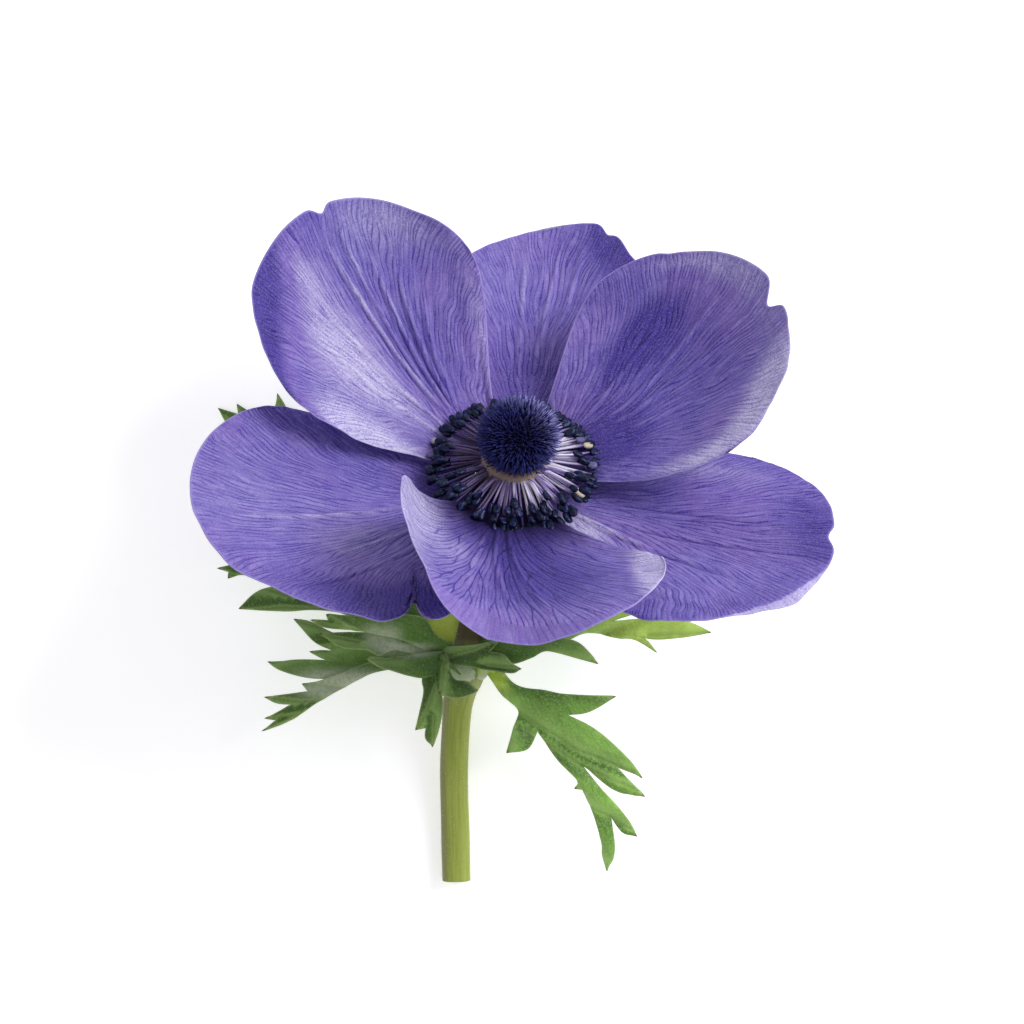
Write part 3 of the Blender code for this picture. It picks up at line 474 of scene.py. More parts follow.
def waves(seed, scale, x, y, terms=9):
    """Smooth noise from about -1 to 1: a sum of seeded waves, about scale bumps for each unit."""
    draw = np.random.default_rng(seed)
    total = np.zeros_like(x, dtype=float)
    for _ in range(terms):
        heading = draw.uniform(0, 2 * math.pi)
        pace = 2 * math.pi * scale * draw.uniform(0.5, 1.3)
        total += np.sin(pace * (x * math.cos(heading) + y * math.sin(heading)) + draw.uniform(0, 7))
    return total / terms ** 0.5 / 1.2


def soft_step(low, high, value):
    t = np.clip((value - low) / (high - low), 0, 1)
    return t * t * (3 - 2 * t)


# ---------------------------------------------------------------- helpers for materials and node trees

class Wire:
    """A node's output.  Sums, differences, products and quotients of wires add Math nodes."""

    def __init__(self, tree, socket):
        self.tree = tree
        self.socket = socket

    def __add__(self, other):
        return self.tree.math("ADD", self, other)

    def __sub__(self, other):
        return self.tree.math("SUBTRACT", self, other)

    def __rsub__(self, other):
        return self.tree.math("SUBTRACT", other, self)

    def __mul__(self, other):
        return self.tree.math("MULTIPLY", self, other)

    def __truediv__(self, other):
        return self.tree.math("DIVIDE", self, other)

    def __rtruediv__(self, other):
        return self.tree.math("DIVIDE", other, self)

    __radd__ = __add__
    __rmul__ = __mul__


class Tree:
    """Adds nodes to a node tree by name and joins them up."""

    def __init__(self, tree):
        self.tree = tree

    def add(self, kind, inputs=None, **settings):
        node = self.tree.nodes.new(kind)
        for key, value in settings.items():
            setattr(node, key, value)
        for key, value in (inputs or {}).items():
            self.put(node.inputs[key], value)
        return node

    def out(self, kind, inputs=None, output=0, **settings):
        """Adds a node and gives one of its outputs."""
        return Wire(self, self.add(kind, inputs, **settings).outputs[output])

    def put(self, socket, value):
        if isinstance(value, Wire):
            self.tree.links.new(value.socket, socket)
        else:
            socket.default_value = value

    def math(self, operation, *values):
        return self.out("ShaderNodeMath", dict(enumerate(values)), operation=operation)

    def vector(self, operation, *values):
        return self.out("ShaderNodeVectorMath", dict(enumerate(values)), operation=operation)

    def scaled(self, vector, size):
        return self.out("ShaderNodeVectorMath", {0: vector, "Scale": size}, operation="SCALE")

    def xyz(self, x=0.0, y=0.0, z=0.0):
        return self.out("ShaderNodeCombineXYZ", {0: x, 1: y, 2: z})

    def split(self, vector):
        return [Wire(self, socket) for socket in self.add("ShaderNodeSeparateXYZ", {0: vector}).outputs]

    def smooth(self, value, low, high, start=0.0, end=1.0):
        """Runs from start to end as the value runs from low to high, easing at both."""
        return self.out("ShaderNodeMapRange", {0: value, 1: low, 2: high, 3: start, 4: end},
                        interpolation_type="SMOOTHSTEP")

    def noise(self, place, scale, detail=3.0, rough=0.5):
        sizes = {"Vector": place, "Scale": scale, "Detail": detail, "Roughness": rough}
        return self.out("ShaderNodeTexNoise", sizes, "Fac")

    def mix(self, part, first, second):
        return self.out("ShaderNodeMix", {0: part, 6: first, 7: second}, 2, data_type="RGBA")

    def coats(self, base, *coats):
        """Colours laid over a base one after another, each given as how much of it and the colour."""
        for part, tone in coats:
            base = self.mix(part, base, tone)
        return base

    def value_of(self, name):
        return self.out("ShaderNodeAttribute", None, "Fac", attribute_name=name)

    def place(self):
        return self.out("ShaderNodeTexCoord", None, "Object")

    def flat_place(self):
        """The two numbers of the piece's own UV map."""
        return self.split(self.out("ShaderNodeUVMap", uv_map="along"))[:2]


def colour(red, green, blue):
    """A colour given as it looks on a screen, 0 to 255, as linear light."""
    parts = [c / 255 for c in (red, green, blue)]
    return (*[c / 12.92 if c <= 0.04045 else ((c + 0.055) / 1.055) ** 2.4 for c in parts], 1.0)


def palette(**tones):
    return SimpleNamespace(**{name: colour(*tone) for name, tone in tones.items()})


def new_material(name, roughness, sheen=0.0, specular=0.5, soft=0.0, tint=(1.0, 1.0, 1.0, 1.0)):
    """A material's tree and its main shader, with what is the same all over the surface set on it."""
    paint = bpy.data.materials.new(name)
    paint.use_nodes = True
    shader = paint.node_tree.nodes["Principled BSDF"]
    shader.inputs["Roughness"].default_value = roughness
    shader.inputs["Sheen Weight"].default_value = sheen
    shader.inputs["Sheen Roughness"].default_value = 0.4
    shader.inputs["Specular IOR Level"].default_value = specular
    shader.inputs["Specular Tint"].default_value = tint
    shader.inputs["Subsurface Weight"].default_value = soft
    shader.inputs["Subsurface Radius"].default_value = (0.0006, 0.0005, 0.0008)
    shader.inputs["Subsurface Scale"].default_value = 1.0
    return paint, Tree(paint.node_tree), shader


def finish_surface(tree, shader, body, relief=None, distance=0.0, strength=1.0):
    """Gives the shader its colour and, where there is relief, a bump that is distance metres high."""
    tree.put(shader.inputs["Base Color"], body)
    if relief:
        sizes = {"Strength": strength, "Distance": distance, "Height": relief}
        tree.put(shader.inputs["Normal"], tree.out("ShaderNodeBump", sizes))


# ---------------------------------------------------------------- materials

# VIOLET: pale and glint are painted sheen and glints, deep is mostly painted shade, margin is a painted
# highlight along the rim, and foot is the painted shade under the stamens
VIOLET = palette(
    body=(104, 90, 170), purple=(122, 99, 174), streak=(150, 138, 200), pale=(194, 189, 219),
    deep=(62, 46, 140), under=(150, 142, 196), vein=(52, 38, 136), pale_vein=(112, 98, 178),
    deep_vein=(26, 18, 96), margin=(170, 158, 214), glint=(222, 218, 244), foot=(28, 18, 52))
LEAF_GREEN = palette(
    dark=(62, 92, 34), light=(140, 190, 80), cloud=(74, 116, 38), streak=(52, 78, 30),
    lit_fold=(178, 212, 124), shaded_fold=(34, 58, 18), fleck=(170, 212, 130), yellow=(232, 253, 104),
    silver=(182, 192, 162), rib=(170, 196, 116), margin=(160, 182, 118), under=(150, 168, 132),
    tip=(104, 56, 36), speck=(176, 206, 130))
STEM_GREEN = palette(
    dark=(146, 160, 68), light=(162, 174, 82), grain=(128, 140, 66), brown=(120, 112, 84),
    neck=(58, 40, 26), wool=(176, 182, 150), cut_end=(196, 200, 140))
ANTHER_NAVY = palette(dark=(8, 9, 26), blue=(50, 62, 122), lilac=(116, 108, 156), cream=(206, 192, 166))
FILAMENT_LILAC = palette(
    shaded=(44, 28, 66), plum=(96, 70, 134), lilac=(160, 138, 208), white=(242, 236, 255),
    end=(72, 50, 124))
DOME_DARK = palette(dark=(8, 7, 24), blue=(24, 22, 66), wool=(158, 140, 120))
STYLE_NAVY = palette(foot=(8, 7, 30), tip=(46, 48, 112), lit_tip=(168, 164, 226))
HAIR_SILVER = palette(grey=(206, 208, 186), white=(232, 232, 222))


def vein_group():
    """Veins that fork.  Line numbers the vein lines and Along runs down them.  Spread is how far
    apart two whole numbers lie, in millimetres: each time it doubles past Spacing, every vein forks."""
    group = bpy.data.node_groups.new("forking_veins", "ShaderNodeTree")
    for name in ("Line", "Along", "Spread", "Spacing", "Width", "Faint"):
        group.interface.new_socket(name=name, in_out="INPUT", socket_type="NodeSocketFloat")
    for name in ("Vein", "Pillow", "Streak", "Net"):
        group.interface.new_socket(name=name, in_out="OUTPUT", socket_type="NodeSocketFloat")
    tree = Tree(group)
    sockets = tree.add("NodeGroupInput").outputs
    line, along, spread, spacing, width, faint = [Wire(tree, socket) for socket in sockets[:6]]
    octave = tree.math("LOGARITHM", tree.math("MAXIMUM", spread / spacing, 0.01), 2.0)
    level = tree.math("FLOOR", octave)
    part = octave - level
    lines = tree.math("POWER", 2.0, level)
    place = line * lines
    number = tree.math("FLOOR", place)
    between = place - number
    # Each gap draws which of its sides forks, and where
    draw = tree.add("ShaderNodeTexWhiteNoise", {"Vector": tree.xyz(number, level, 3.7)},
                    noise_dimensions="3D")
    turned_over = tree.math("GREATER_THAN", Wire(tree, draw.outputs["Value"]), 0.5)
    between = between * (1.0 - turned_over) + (1.0 - between) * turned_over
    start = tree.split(Wire(tree, draw.outputs["Color"]))[1] * 0.5
    child = tree.smooth((part - start) / 0.5, 0.0, 1.0) * 0.5
    near = tree.math("MINIMUM", between, 1.0 - between)
    nearest = tree.math("MINIMUM", near, tree.math("ABSOLUTE", between - child))
    far = nearest * (spread / lines)
    vein = tree.smooth(far / width, 0.0, 1.0, 1.0, 0.0) * (1.0 - faint)
    cells = {"Vector": tree.xyz(place * 0.9, along * 0.55, level), "Scale": 1.0}
    cell_edge = tree.out("ShaderNodeTexVoronoi", cells, "Distance", feature="DISTANCE_TO_EDGE")
    # Streaks of about the same width everywhere: two scales, the finer one coming in with part
    streaks = []
    for finer in (0.0, 1.0):
        scale = level + finer
        at = line * tree.math("POWER", 2.0, scale)
        streaks.append(tree.noise(tree.xyz(at * 1.3, along * 0.22, scale * 7.3), 1.0, 3.0, 0.6))
    streak = streaks[0] * (1.0 - part) + streaks[1] * part
    tree.add("NodeGroupOutput", {"Vein": vein, "Pillow": tree.smooth(nearest, 0.0, 0.3),
                                 "Streak": streak, "Net": tree.smooth(cell_edge, 0.0, 0.1, 1.0, 0.0)})
    return group


def petal_material(veins):
    """Satin violet with forking darker veins, pale patches of painted sheen and darker ones of painted shade,
    a pale thin margin of painted highlight and painted shade at the foot.
    """
    paint, tree, shader = new_material("petal_violet", 0.5, sheen=0.03, specular=0.14, soft=0.06)
    line, along = tree.flat_place()
    spread = tree.value_of("spread")
    place = tree.place()
    wander = (tree.noise(place, 900.0, 2.0) - 0.5) * 0.09 + (tree.noise(place, 220.0, 1.0) - 0.5) * 0.2
    bent = line + wander * tree.value_of("wander") / spread
    patch = tree.noise(place, 420.0, 2.0)
    masks = []
    for spacing, width, most in ((VEIN_SPACING, VEIN_WIDTH, 0.65),
                                 (MAIN_VEIN_SPACING, MAIN_VEIN_WIDTH, 0.25)):
        sizes = dict(Line=bent, Along=along, Spread=spread, Spacing=spacing, Width=width,
                     Faint=tree.smooth(patch, 0.38, 0.6, most, 0.0))
        node = tree.add("ShaderNodeGroup", sizes, node_tree=veins)
        masks.append([Wire(tree, socket) for socket in node.outputs])
    fine, pillow, streak, net = masks[0]
    main = masks[1][0] * tree.value_of("main")
    grain = tree.noise(place, 3200.0, 2.0, 0.6)
    fine_grain = tree.noise(place, 5200.0, 1.0, 0.5)
    cloud = tree.noise(place, 70.0, 2.0)
    tone = tree.value_of("tone")
    margin = tree.value_of("margin")
    under = tree.value_of("under")
    # Painted light from the tone: pale is painted sheen, deep is mostly painted shade
    pale = tree.smooth(tone, 0.0, 1.0)
    deep = tree.smooth(tone, 0.0, -1.0)
    mottle = grain * 0.5 + streak * 0.5

    vein_tone = tree.coats(VIOLET.vein, (pale, VIOLET.pale_vein), (deep, VIOLET.deep_vein))
    amount = tree.math("MAXIMUM", fine * 0.95, tree.math("MINIMUM", main, 1.0))
    amount = tree.math("MAXIMUM", amount, net * tree.smooth(margin, 2.0, 12.0, 0.38, 0.15))
    clear = tree.smooth(margin, 0.0, 0.5) * tree.smooth(tree.value_of("plain"), 0.0, 1.0, 1.0, 0.3)
    clear = clear * tree.smooth(under, 0.5, 1.0, 1.0, 0.55)
    body = tree.coats(
        VIOLET.body,
        (tree.smooth(cloud, 0.35, 0.65), VIOLET.purple),
        (tree.smooth(streak, 0.42, 0.6) * 0.4, VIOLET.streak),
        # Painted sheen, grainy
        (pale * tree.smooth(mottle, 0.38, 0.58, 0.45, 1.0), VIOLET.pale),
        # Mostly painted shade
        (deep * 0.85, VIOLET.deep),
        (under * 0.5, VIOLET.under),
        (amount * clear, vein_tone),
        # A pale thin painted highlight along the margin
        (tree.smooth(margin, 0.3, 0.0) * 0.35, VIOLET.margin),
        # Painted glints in the pale painted sheen
        (tree.smooth(fine_grain, 0.48, 0.75) * tree.smooth(pale, 0.0, 1.0, 0.12, 0.6), VIOLET.glint),
        # Painted shade at the foot, under the stamens
        (tree.value_of("base"), VIOLET.foot))
    relief = streak * 0.4 + pillow * 0.7 + grain * 0.35
    finish_surface(tree, shader, body, relief, 0.00005, 0.6)
    return paint


def leaf_material():
    """Matt green with paler main veins and margin, silvery below, brown at the very tips; painted light and
    painted shade on the two sides of each rib, and patches of painted light where light shines through.
    """
    paint, tree, shader = new_material("leaf_green", 0.45, specular=0.25, soft=0.04)
    place = tree.place()
    cloud = tree.noise(place, 120.0, 3.0)
    grain = tree.noise(place, 1800.0, 2.0, 0.6)
    fleck = tree.noise(place, 3400.0, 2.0, 0.6)
    speck = tree.noise(place, 3600.0, 1.0, 0.5)
    along, across = tree.flat_place()
    streak = tree.noise(tree.xyz(along * 0.5, across * 2.6), 1.0, 3.0, 0.6)
    bright = tree.value_of("tone")
    fold_painted_light = tree.value_of("fold_painted_light")
    under = tree.smooth(tree.value_of("under"), 0.6, 1.0)
    body = tree.coats(
        LEAF_GREEN.dark,
        # The blade's tone: partly its own green, partly painted light
        (tree.smooth(bright, 0.0, 1.0), LEAF_GREEN.light),
        (tree.smooth(cloud, 0.42, 0.62) * 0.5, LEAF_GREEN.cloud),
        (tree.smooth(streak, 0.45, 0.6) * 0.25, LEAF_GREEN.streak),
        # Painted light on one side of each rib and painted shade on the other
        (tree.smooth(fold_painted_light, 0.0, 0.8) * 0.6, LEAF_GREEN.lit_fold),
        (tree.smooth(fold_painted_light, 0.0, -0.8) * 0.75, LEAF_GREEN.shaded_fold),
        (tree.smooth(fleck, 0.46, 0.66) * tree.smooth(bright, 0.3, 1.0, 0.08, 0.38), LEAF_GREEN.fleck),
        # Painted light where light shines through a blade
        (tree.value_of("yellow"), LEAF_GREEN.yellow),
        (tree.value_of("silver") * tree.smooth(grain, 0.3, 0.6, 0.7, 1.0), LEAF_GREEN.silver),
        (tree.smooth(tree.value_of("rib"), 0.2, 1.0) * 0.55, LEAF_GREEN.rib),
        (tree.smooth(tree.value_of("margin"), 0.16, 0.0) * 0.4, LEAF_GREEN.margin),
        (under * 0.75, LEAF_GREEN.under),
        (tree.smooth(tree.value_of("tip"), 0.55, 0.1, 0.0, 0.85), LEAF_GREEN.tip),
        (tree.smooth(speck, 0.55, 0.75, 0.0, 0.25), LEAF_GREEN.speck))
    finish_surface(tree, shader, body, streak * 0.8 + fleck * 0.9, 0.00008, 0.8)
    return paint


def stem_material():
    """Yellow-green stem with fine lengthwise streaks; painted shade in dark brown in the neck below the
    bloom, and a greyer brown on the -X side, partly painted shade and partly the stem's own brown.
    """
    paint, tree, shader = new_material("stem_green", 0.5, sheen=0.05, specular=0.25, soft=0.06)
    round_about, along = tree.flat_place()
    streak = tree.noise(tree.xyz(round_about * 26.0, along * 0.12), 1.0, 3.0, 0.6)
    grain = tree.noise(tree.place(), 1500.0, 2.0, 0.6)
    body = tree.coats(
        STEM_GREEN.dark,
        (tree.smooth(streak, 0.35, 0.65), STEM_GREEN.light),
        (tree.smooth(grain, 0.55, 0.75, 0.0, 0.3), STEM_GREEN.grain),
        # Greyer brown on the -X side, away from the light: partly painted shade, partly the stem's own brown
        (tree.value_of("brown") * 0.7, STEM_GREEN.brown),
        # Painted shade in the neck, under the bloom
        (tree.value_of("neck") * 0.92, STEM_GREEN.neck),
        (tree.value_of("wool") * 0.75, STEM_GREEN.wool),
        (tree.value_of("cut_end"), STEM_GREEN.cut_end))
    finish_surface(tree, shader, body, streak + grain * 0.3, 0.0001, 0.7)
    return paint


def anther_material():
    """Glossy navy, nearly black anthers touched blue-grey, partly pollen dust and partly painted highlight; a
    few have opened to lilac and cream.
    """
    paint, tree, shader = new_material("anther_navy", 0.3, specular=0.45, tint=(0.45, 0.55, 1.0, 1.0))
    grain = tree.noise(tree.place(), 2200.0, 3.0, 0.6)
    chance = tree.value_of("chance")
    body = tree.coats(
        ANTHER_NAVY.dark,
        # Blue-grey flecks: partly pollen dust, partly painted highlight
        (tree.smooth(grain, 0.5, 0.72), ANTHER_NAVY.blue),
        (tree.smooth(chance, 0.9, 0.94, 0.0, 0.7), ANTHER_NAVY.lilac),
        (tree.smooth(chance, 0.985, 0.99, 0.0, 0.9), ANTHER_NAVY.cream))
    finish_surface(tree, shader, body, grain, 0.00012, 0.8)
    return paint


def filament_material():
    """Filaments: whitish lilac near the foot and plum towards the anther, with painted shade on the -X side,
    away from the light.
    """
    paint, tree, shader = new_material("filament_lilac", 0.4, specular=0.5, soft=0.1)
    chance = tree.value_of("chance")
    # Painted light: lit on the +X side, painted shade on the -X side
    lit = tree.smooth(tree.value_of("facing"), -0.5, 0.5) * 0.92 + 0.08
    light = tree.mix(tree.smooth(chance, 0.1, 0.8), FILAMENT_LILAC.lilac, FILAMENT_LILAC.white)
    body = tree.coats(
        FILAMENT_LILAC.shaded,
        (chance, FILAMENT_LILAC.plum),
        (lit, light),
        (tree.smooth(tree.value_of("along"), 0.55, 1.0), FILAMENT_LILAC.end))
    finish_surface(tree, shader, body)
    return paint


def dome_material():
    """The dome between the styles, nearly black, over a tan woolly ring."""
    paint, tree, shader = new_material("dome_dark", 0.7, specular=0.1)
    grain = tree.noise(tree.place(), 1500.0, 3.0, 0.6)
    body = tree.coats(
        DOME_DARK.dark,
        (tree.smooth(grain, 0.4, 0.65), DOME_DARK.blue),
        (tree.value_of("wool"), DOME_DARK.wool))
    finish_surface(tree, shader, body, grain, 0.0003)
    return paint


def style_material():
    """The pistil's fine brush: navy, with bluer tips, and paler tips of painted highlight on the side that
    faces the light, +X +Y.
    """
    paint, tree, shader = new_material("style_navy", 0.35, specular=0.4, tint=(0.6, 0.65, 1.0, 1.0))
    # Painted highlight on the tips that face the light
    facing = tree.smooth(tree.value_of("facing"), -0.3, 1.0)
    bright = tree.smooth(tree.value_of("chance"), 0.2, 1.0) * facing
    tip = tree.mix(bright, STYLE_NAVY.tip, STYLE_NAVY.lit_tip)
    body = tree.mix(tree.smooth(tree.value_of("along"), 0.1, 0.5), STYLE_NAVY.foot, tip)
    finish_surface(tree, shader, body)
    return paint


def hair_material():
    paint, tree, shader = new_material("hair_silver", 0.4, sheen=0.2, specular=0.4)
    body = tree.mix(tree.value_of("chance"), HAIR_SILVER.grey, HAIR_SILVER.white)
    finish_surface(tree, shader, body)
    return paint


def floor_material():
    """White and lit from below like a light table, so that shadows stay faint."""
    paint, tree, shader = new_material("floor_white", 0.9, specular=0.1)
    grain = tree.noise(tree.place(), 40.0, 2.0)
    body = tree.mix(tree.smooth(grain, 0.3, 0.7), (0.94, 0.94, 0.94, 1), (0.95, 0.95, 0.95, 1))
    finish_surface(tree, shader, body)
    shader.inputs["Emission Color"].default_value = (1.0, 1.0, 1.0, 1.0)
    shader.inputs["Emission Strength"].default_value = FLOOR_GLOW
    return paint


# ---------------------------------------------------------------- petals

def petal_reach(shape, y):
    """Half the petal's width at each place along it, in millimetres."""
    half = shape["width"] / 2
    return PETAL_CLAW / 2 + (half - PETAL_CLAW / 2) * np.sin(np.pi / 2 * y) ** shape["swell"]


def flat_petal(shape, x, y):
    """Each place of the petal laid flat: millimetres across and along, without nicks."""
    side = np.sin(np.pi / 2 * x)
    across = side * petal_reach(shape, y) * (1 + shape["lopsided"] * side * y)
    edge = 1 - shape["rounding"] * (1 - np.cos(np.pi / 2 * x))
    for place, spread, depth in shape["clefts"]:
        edge = edge * (1 - depth * np.exp(-((x - place) / spread) ** 2) * y ** 6)
    return np.stack([across, shape["length"] * y * edge], -1)


def from_spot(shape, flat, spot):
    """The way a nick is cut, and how far each place is ahead of its start and beside it."""
    from_x, from_y, to_x, to_y = spot[:4]
    start, end = flat_petal(shape, np.array([from_x, to_x]), np.array([from_y, to_y]))
    inwards = (end - start) / np.linalg.norm(end - start)
    away = flat - start
    return inwards, away @ inwards, away @ np.array((-inwards[1], inwards[0]))


def nicked(shape, flat):
    """The flat outline pulled in where it has a nick and pushed out where it has a lobe."""
    spots = [(NICK_POINT, spot) for spot in shape["nicks"]]
    spots += [(CUT_POINT, spot) for spot in shape.get("cuts", ())]
    for point, spot in spots:
        inwards, ahead, beside = from_spot(shape, flat, spot)
        half_width, depth = spot[4:]
        fall = 1 - soft_step(0.0, 2.2 * abs(depth) + 1.5, ahead)
        move = depth * np.exp(-np.abs(beside / half_width) ** point) * fall
        flat = flat + inwards * move[..., None]
    return flat


def off_cuts(shape, x, y):
    """0 beside a deep cut, where the petal stays plain, and 1 away from it."""
    calm = np.ones_like(x)
    for spot in shape.get("cuts", ()):
        _, ahead, beside = from_spot(shape, flat_petal(shape, x, y), spot)
        calm *= 1 - np.exp(-(beside / 2.6) ** 2) * (1 - soft_step(9.0, 17.0, ahead))
    return calm


def petal_points(shape, x, y):
    """The petal's surface in the bloom's frame, for x from -1 to 1 across and y from 0 to 1 along."""
    length = shape["length"]
    half = shape["width"] / 2
    flat = nicked(shape, flat_petal(shape, x, y))
    across, along = flat[..., 0], flat[..., 1]

    # Midrib: its slope runs smoothly from foot to tip, and its line is the sum of short steps
    steps = np.linspace(0, 1.1 * length, 200)
    part = steps / length
    foot, middle, tip = np.radians(shape["rise"])
    slope = foot * (1 - part) ** 2 + 2 * middle * part * (1 - part) + tip * part ** 2
    step = steps[1]
    halfway = (slope[1:] + slope[:-1]) / 2
    out = PETAL_START + np.concatenate([[0], np.cumsum(np.cos(halfway) * step)])
    up = UPPER_LAYER * shape["layer"] + np.concatenate([[0], np.cumsum(np.sin(halfway) * step)])
    rib_out = np.interp(along, steps, out)
    rib_up = np.interp(along, steps, up)
    rib_slope = np.interp(along, steps, slope)

    # Each half bends up from the midrib as an arc
    curl = np.where(across < 0, math.radians(shape["curl"][0]), math.radians(shape["curl"][1]))
    bend = curl * np.abs(across) / half
    safe = np.maximum(bend, 1e-6)
    level = across * np.sin(safe) / safe
    lift = np.abs(across) * (1 - np.cos(safe)) / safe

    fraction = np.clip(along / length, 0, 1.2)
    twist = math.radians(shape["twist"]) * np.minimum(fraction, 1)
    sideways = level * np.cos(twist) - lift * np.sin(twist)
    outwards = level * np.sin(twist) + lift * np.cos(twist)
    sideways = sideways + np.sin(fraction * math.radians(shape["sweep"])) * along / 2

    local = np.stack([rib_out - outwards * np.sin(rib_slope), sideways,
                      rib_up + outwards * np.cos(rib_slope)], -1)
    a = math.radians(shape["turn"])
    return np.stack([local[..., 0] * math.cos(a) - local[..., 1] * math.sin(a),
                     local[..., 0] * math.sin(a) + local[..., 1] * math.cos(a), local[..., 2]], -1)


def vein_lines(shape, seed, x, y, points):
    """The number of the vein line that runs through each place, and how many millimetres there are
    from one number to the next.  The lines fan out from the claw and run off over the margins."""
    side = np.sin(np.pi / 2 * x)
    across = side * petal_reach(shape, y) / (shape["width"] / 2)
    along = y * (1 - shape["rounding"] * (1 - np.cos(np.pi / 2 * x)))
    line = across * (1 - VEIN_TURN * across ** 4) / (along + VEIN_ORIGIN) ** VEIN_BEND
    over_x, over_y = np.gradient(line, axis=1), np.gradient(line, axis=0)
    step_x, step_y = np.gradient(points, axis=1), np.gradient(points, axis=0)
    xx = (step_x ** 2).sum(-1)
    xy = (step_x * step_y).sum(-1)
    yy = (step_y ** 2).sum(-1)
    area = np.maximum(xx * yy - xy ** 2, 1e-9)
    steep = (yy * over_x ** 2 - 2 * xy * over_x * over_y + xx * over_y ** 2) / area
    spread = 1 / np.sqrt(np.maximum(steep, 1e-5))
    across, up = across * shape["width"] / 2, along * shape["length"]
    shift = 0
    for i, (height, pace, longer) in enumerate(VEIN_WANDER):
        shift = shift + height * waves(seed + 7 + i, pace, across, up / longer)
    return line + shape.get("wander", 1) * shift / spread, spread


def vein_distance(line, spread, spacing, seed):
    """Millimetres to the nearest vein.  Where the veins part too far, each one forks."""
    octave = np.log2(spread / spacing)
    level = np.floor(octave)
    part = octave - level
    place = line * 2.0 ** level
    number = np.floor(place)
    between = place - number
    draw = np.sin(number * 12.9898 + level * 78.233 + seed) * 43758.5453
    chance = draw - np.floor(draw)
    between = np.where(chance > 0.5, 1 - between, between)
    start = (chance * 7.31 % 1) * 0.5
    child = 0.5 * soft_step(0, 1, (part - start) / 0.5)
    nearest = np.minimum(np.minimum(between, 1 - between), np.abs(between - child))
    return nearest * spread / 2.0 ** level


def past_hem(shape, x, y):
    """How far each place lies past the line where the margin turns down, in millimetres."""
    if not shape["hem"]:
        return np.zeros_like(x)
    spots = np.array(shape["hem"][0])
    return np.maximum(0.0, y - np.interp(x, spots[:, 0], spots[:, 1])) * shape["length"]


def pleat_shape(shape, x, y):
    """Pleats as crests and valleys, each from about -0.4 to 1 times its height."""
    side = np.sin(np.pi / 2 * x)
    reach = petal_reach(shape, y)
    total = np.zeros_like(x)
    for side_a, y_a, side_b, y_b, height in shape["pleats"]:
        f = (y - y_a) / (y_b - y_a)
        middle = side_a + (side_b - side_a) * f
        away = np.abs(side - middle) * reach
        shown = soft_step(-0.15, 0.2, f) * (1 - soft_step(0.7, 1.1, f))
        width = PLEAT_WIDTH * (0.8 + 0.5 * np.clip(f, 0, 1))
        crest = np.exp(-(away / width) ** 2) - 0.4 * np.exp(-(away / width / 2.4) ** 2)
        total += height * shown * crest
    return total


def petal_relief(shape, seed, x, y, pleats, edge_distance):
    """How far the surface stands off the plain one: pleats, waves and a ruffled margin."""
    relief = PLEAT_HEIGHT * pleats
    for i, (height, across, along, terms, start, full) in enumerate(PETAL_WAVES):
        relief += height * waves(seed + i, 1.0, x * across, y * along, terms) * soft_step(start, full, y)
    near = np.exp(-edge_distance / (0.08 * shape["width"]))
    relief += shape["ruffle"] * near * waves(seed + 3, 1.0, x * 2.6, y * 3.0, 6)
    relief += 0.08 * near * waves(seed + 4, 1.0, x * 9.0, y * 9.0, 6)
    return relief


def grid_triangles(columns, rows):
    """Triangles of a grid, split along alternating diagonals, facing up."""
    faces = []
    for j in range(rows):
        for i in range(columns):
            a = j * (columns + 1) + i
            b, c, d = a + 1, a + columns + 2, a + columns + 1
            if (i + j) % 2:
                faces += [(a, c, b), (a, d, c)]
            else:
                faces += [(a, d, b), (b, d, c)]
    return np.array(faces)


def distance_to_margin(points):
    """Rough distance from each place of the grid to its nearest side or tip, in millimetres."""
    across = np.linalg.norm(np.diff(points, axis=1), axis=-1)
    left = np.concatenate([np.zeros((points.shape[0], 1)), np.cumsum(across, 1)], 1)
    right = left[:, -1:] - left
    along = np.linalg.norm(np.diff(points, axis=0), axis=-1)
    foot = np.concatenate([np.zeros((1, points.shape[1])), np.cumsum(along, 0)], 0)
    tip = foot[-1:] - foot
    return np.minimum(np.minimum(left, right), tip), foot


def petal_grid(shape):
    """Places over a petal: -1 to 1 across and 0 to 1 along.  Columns and rows close up towards the
    margins, where the outline needs them, and columns beside a cut."""
    columns, rows = PETAL_CELLS
    even = np.linspace(-1, 1, columns + 1)
    across = (1 - PETAL_SIDE_CELLS) * even + PETAL_SIDE_CELLS * 2 / np.pi * np.arcsin(even)
    beside, count = CUT_CELLS
    for spot in shape.get("cuts", ()):
        kept = across[np.abs(across - spot[0]) > beside]
        across = np.union1d(kept, spot[0] + np.linspace(-beside, beside, count))
    return np.meshgrid(across, np.linspace(0, 1, rows + 1) ** 0.9)


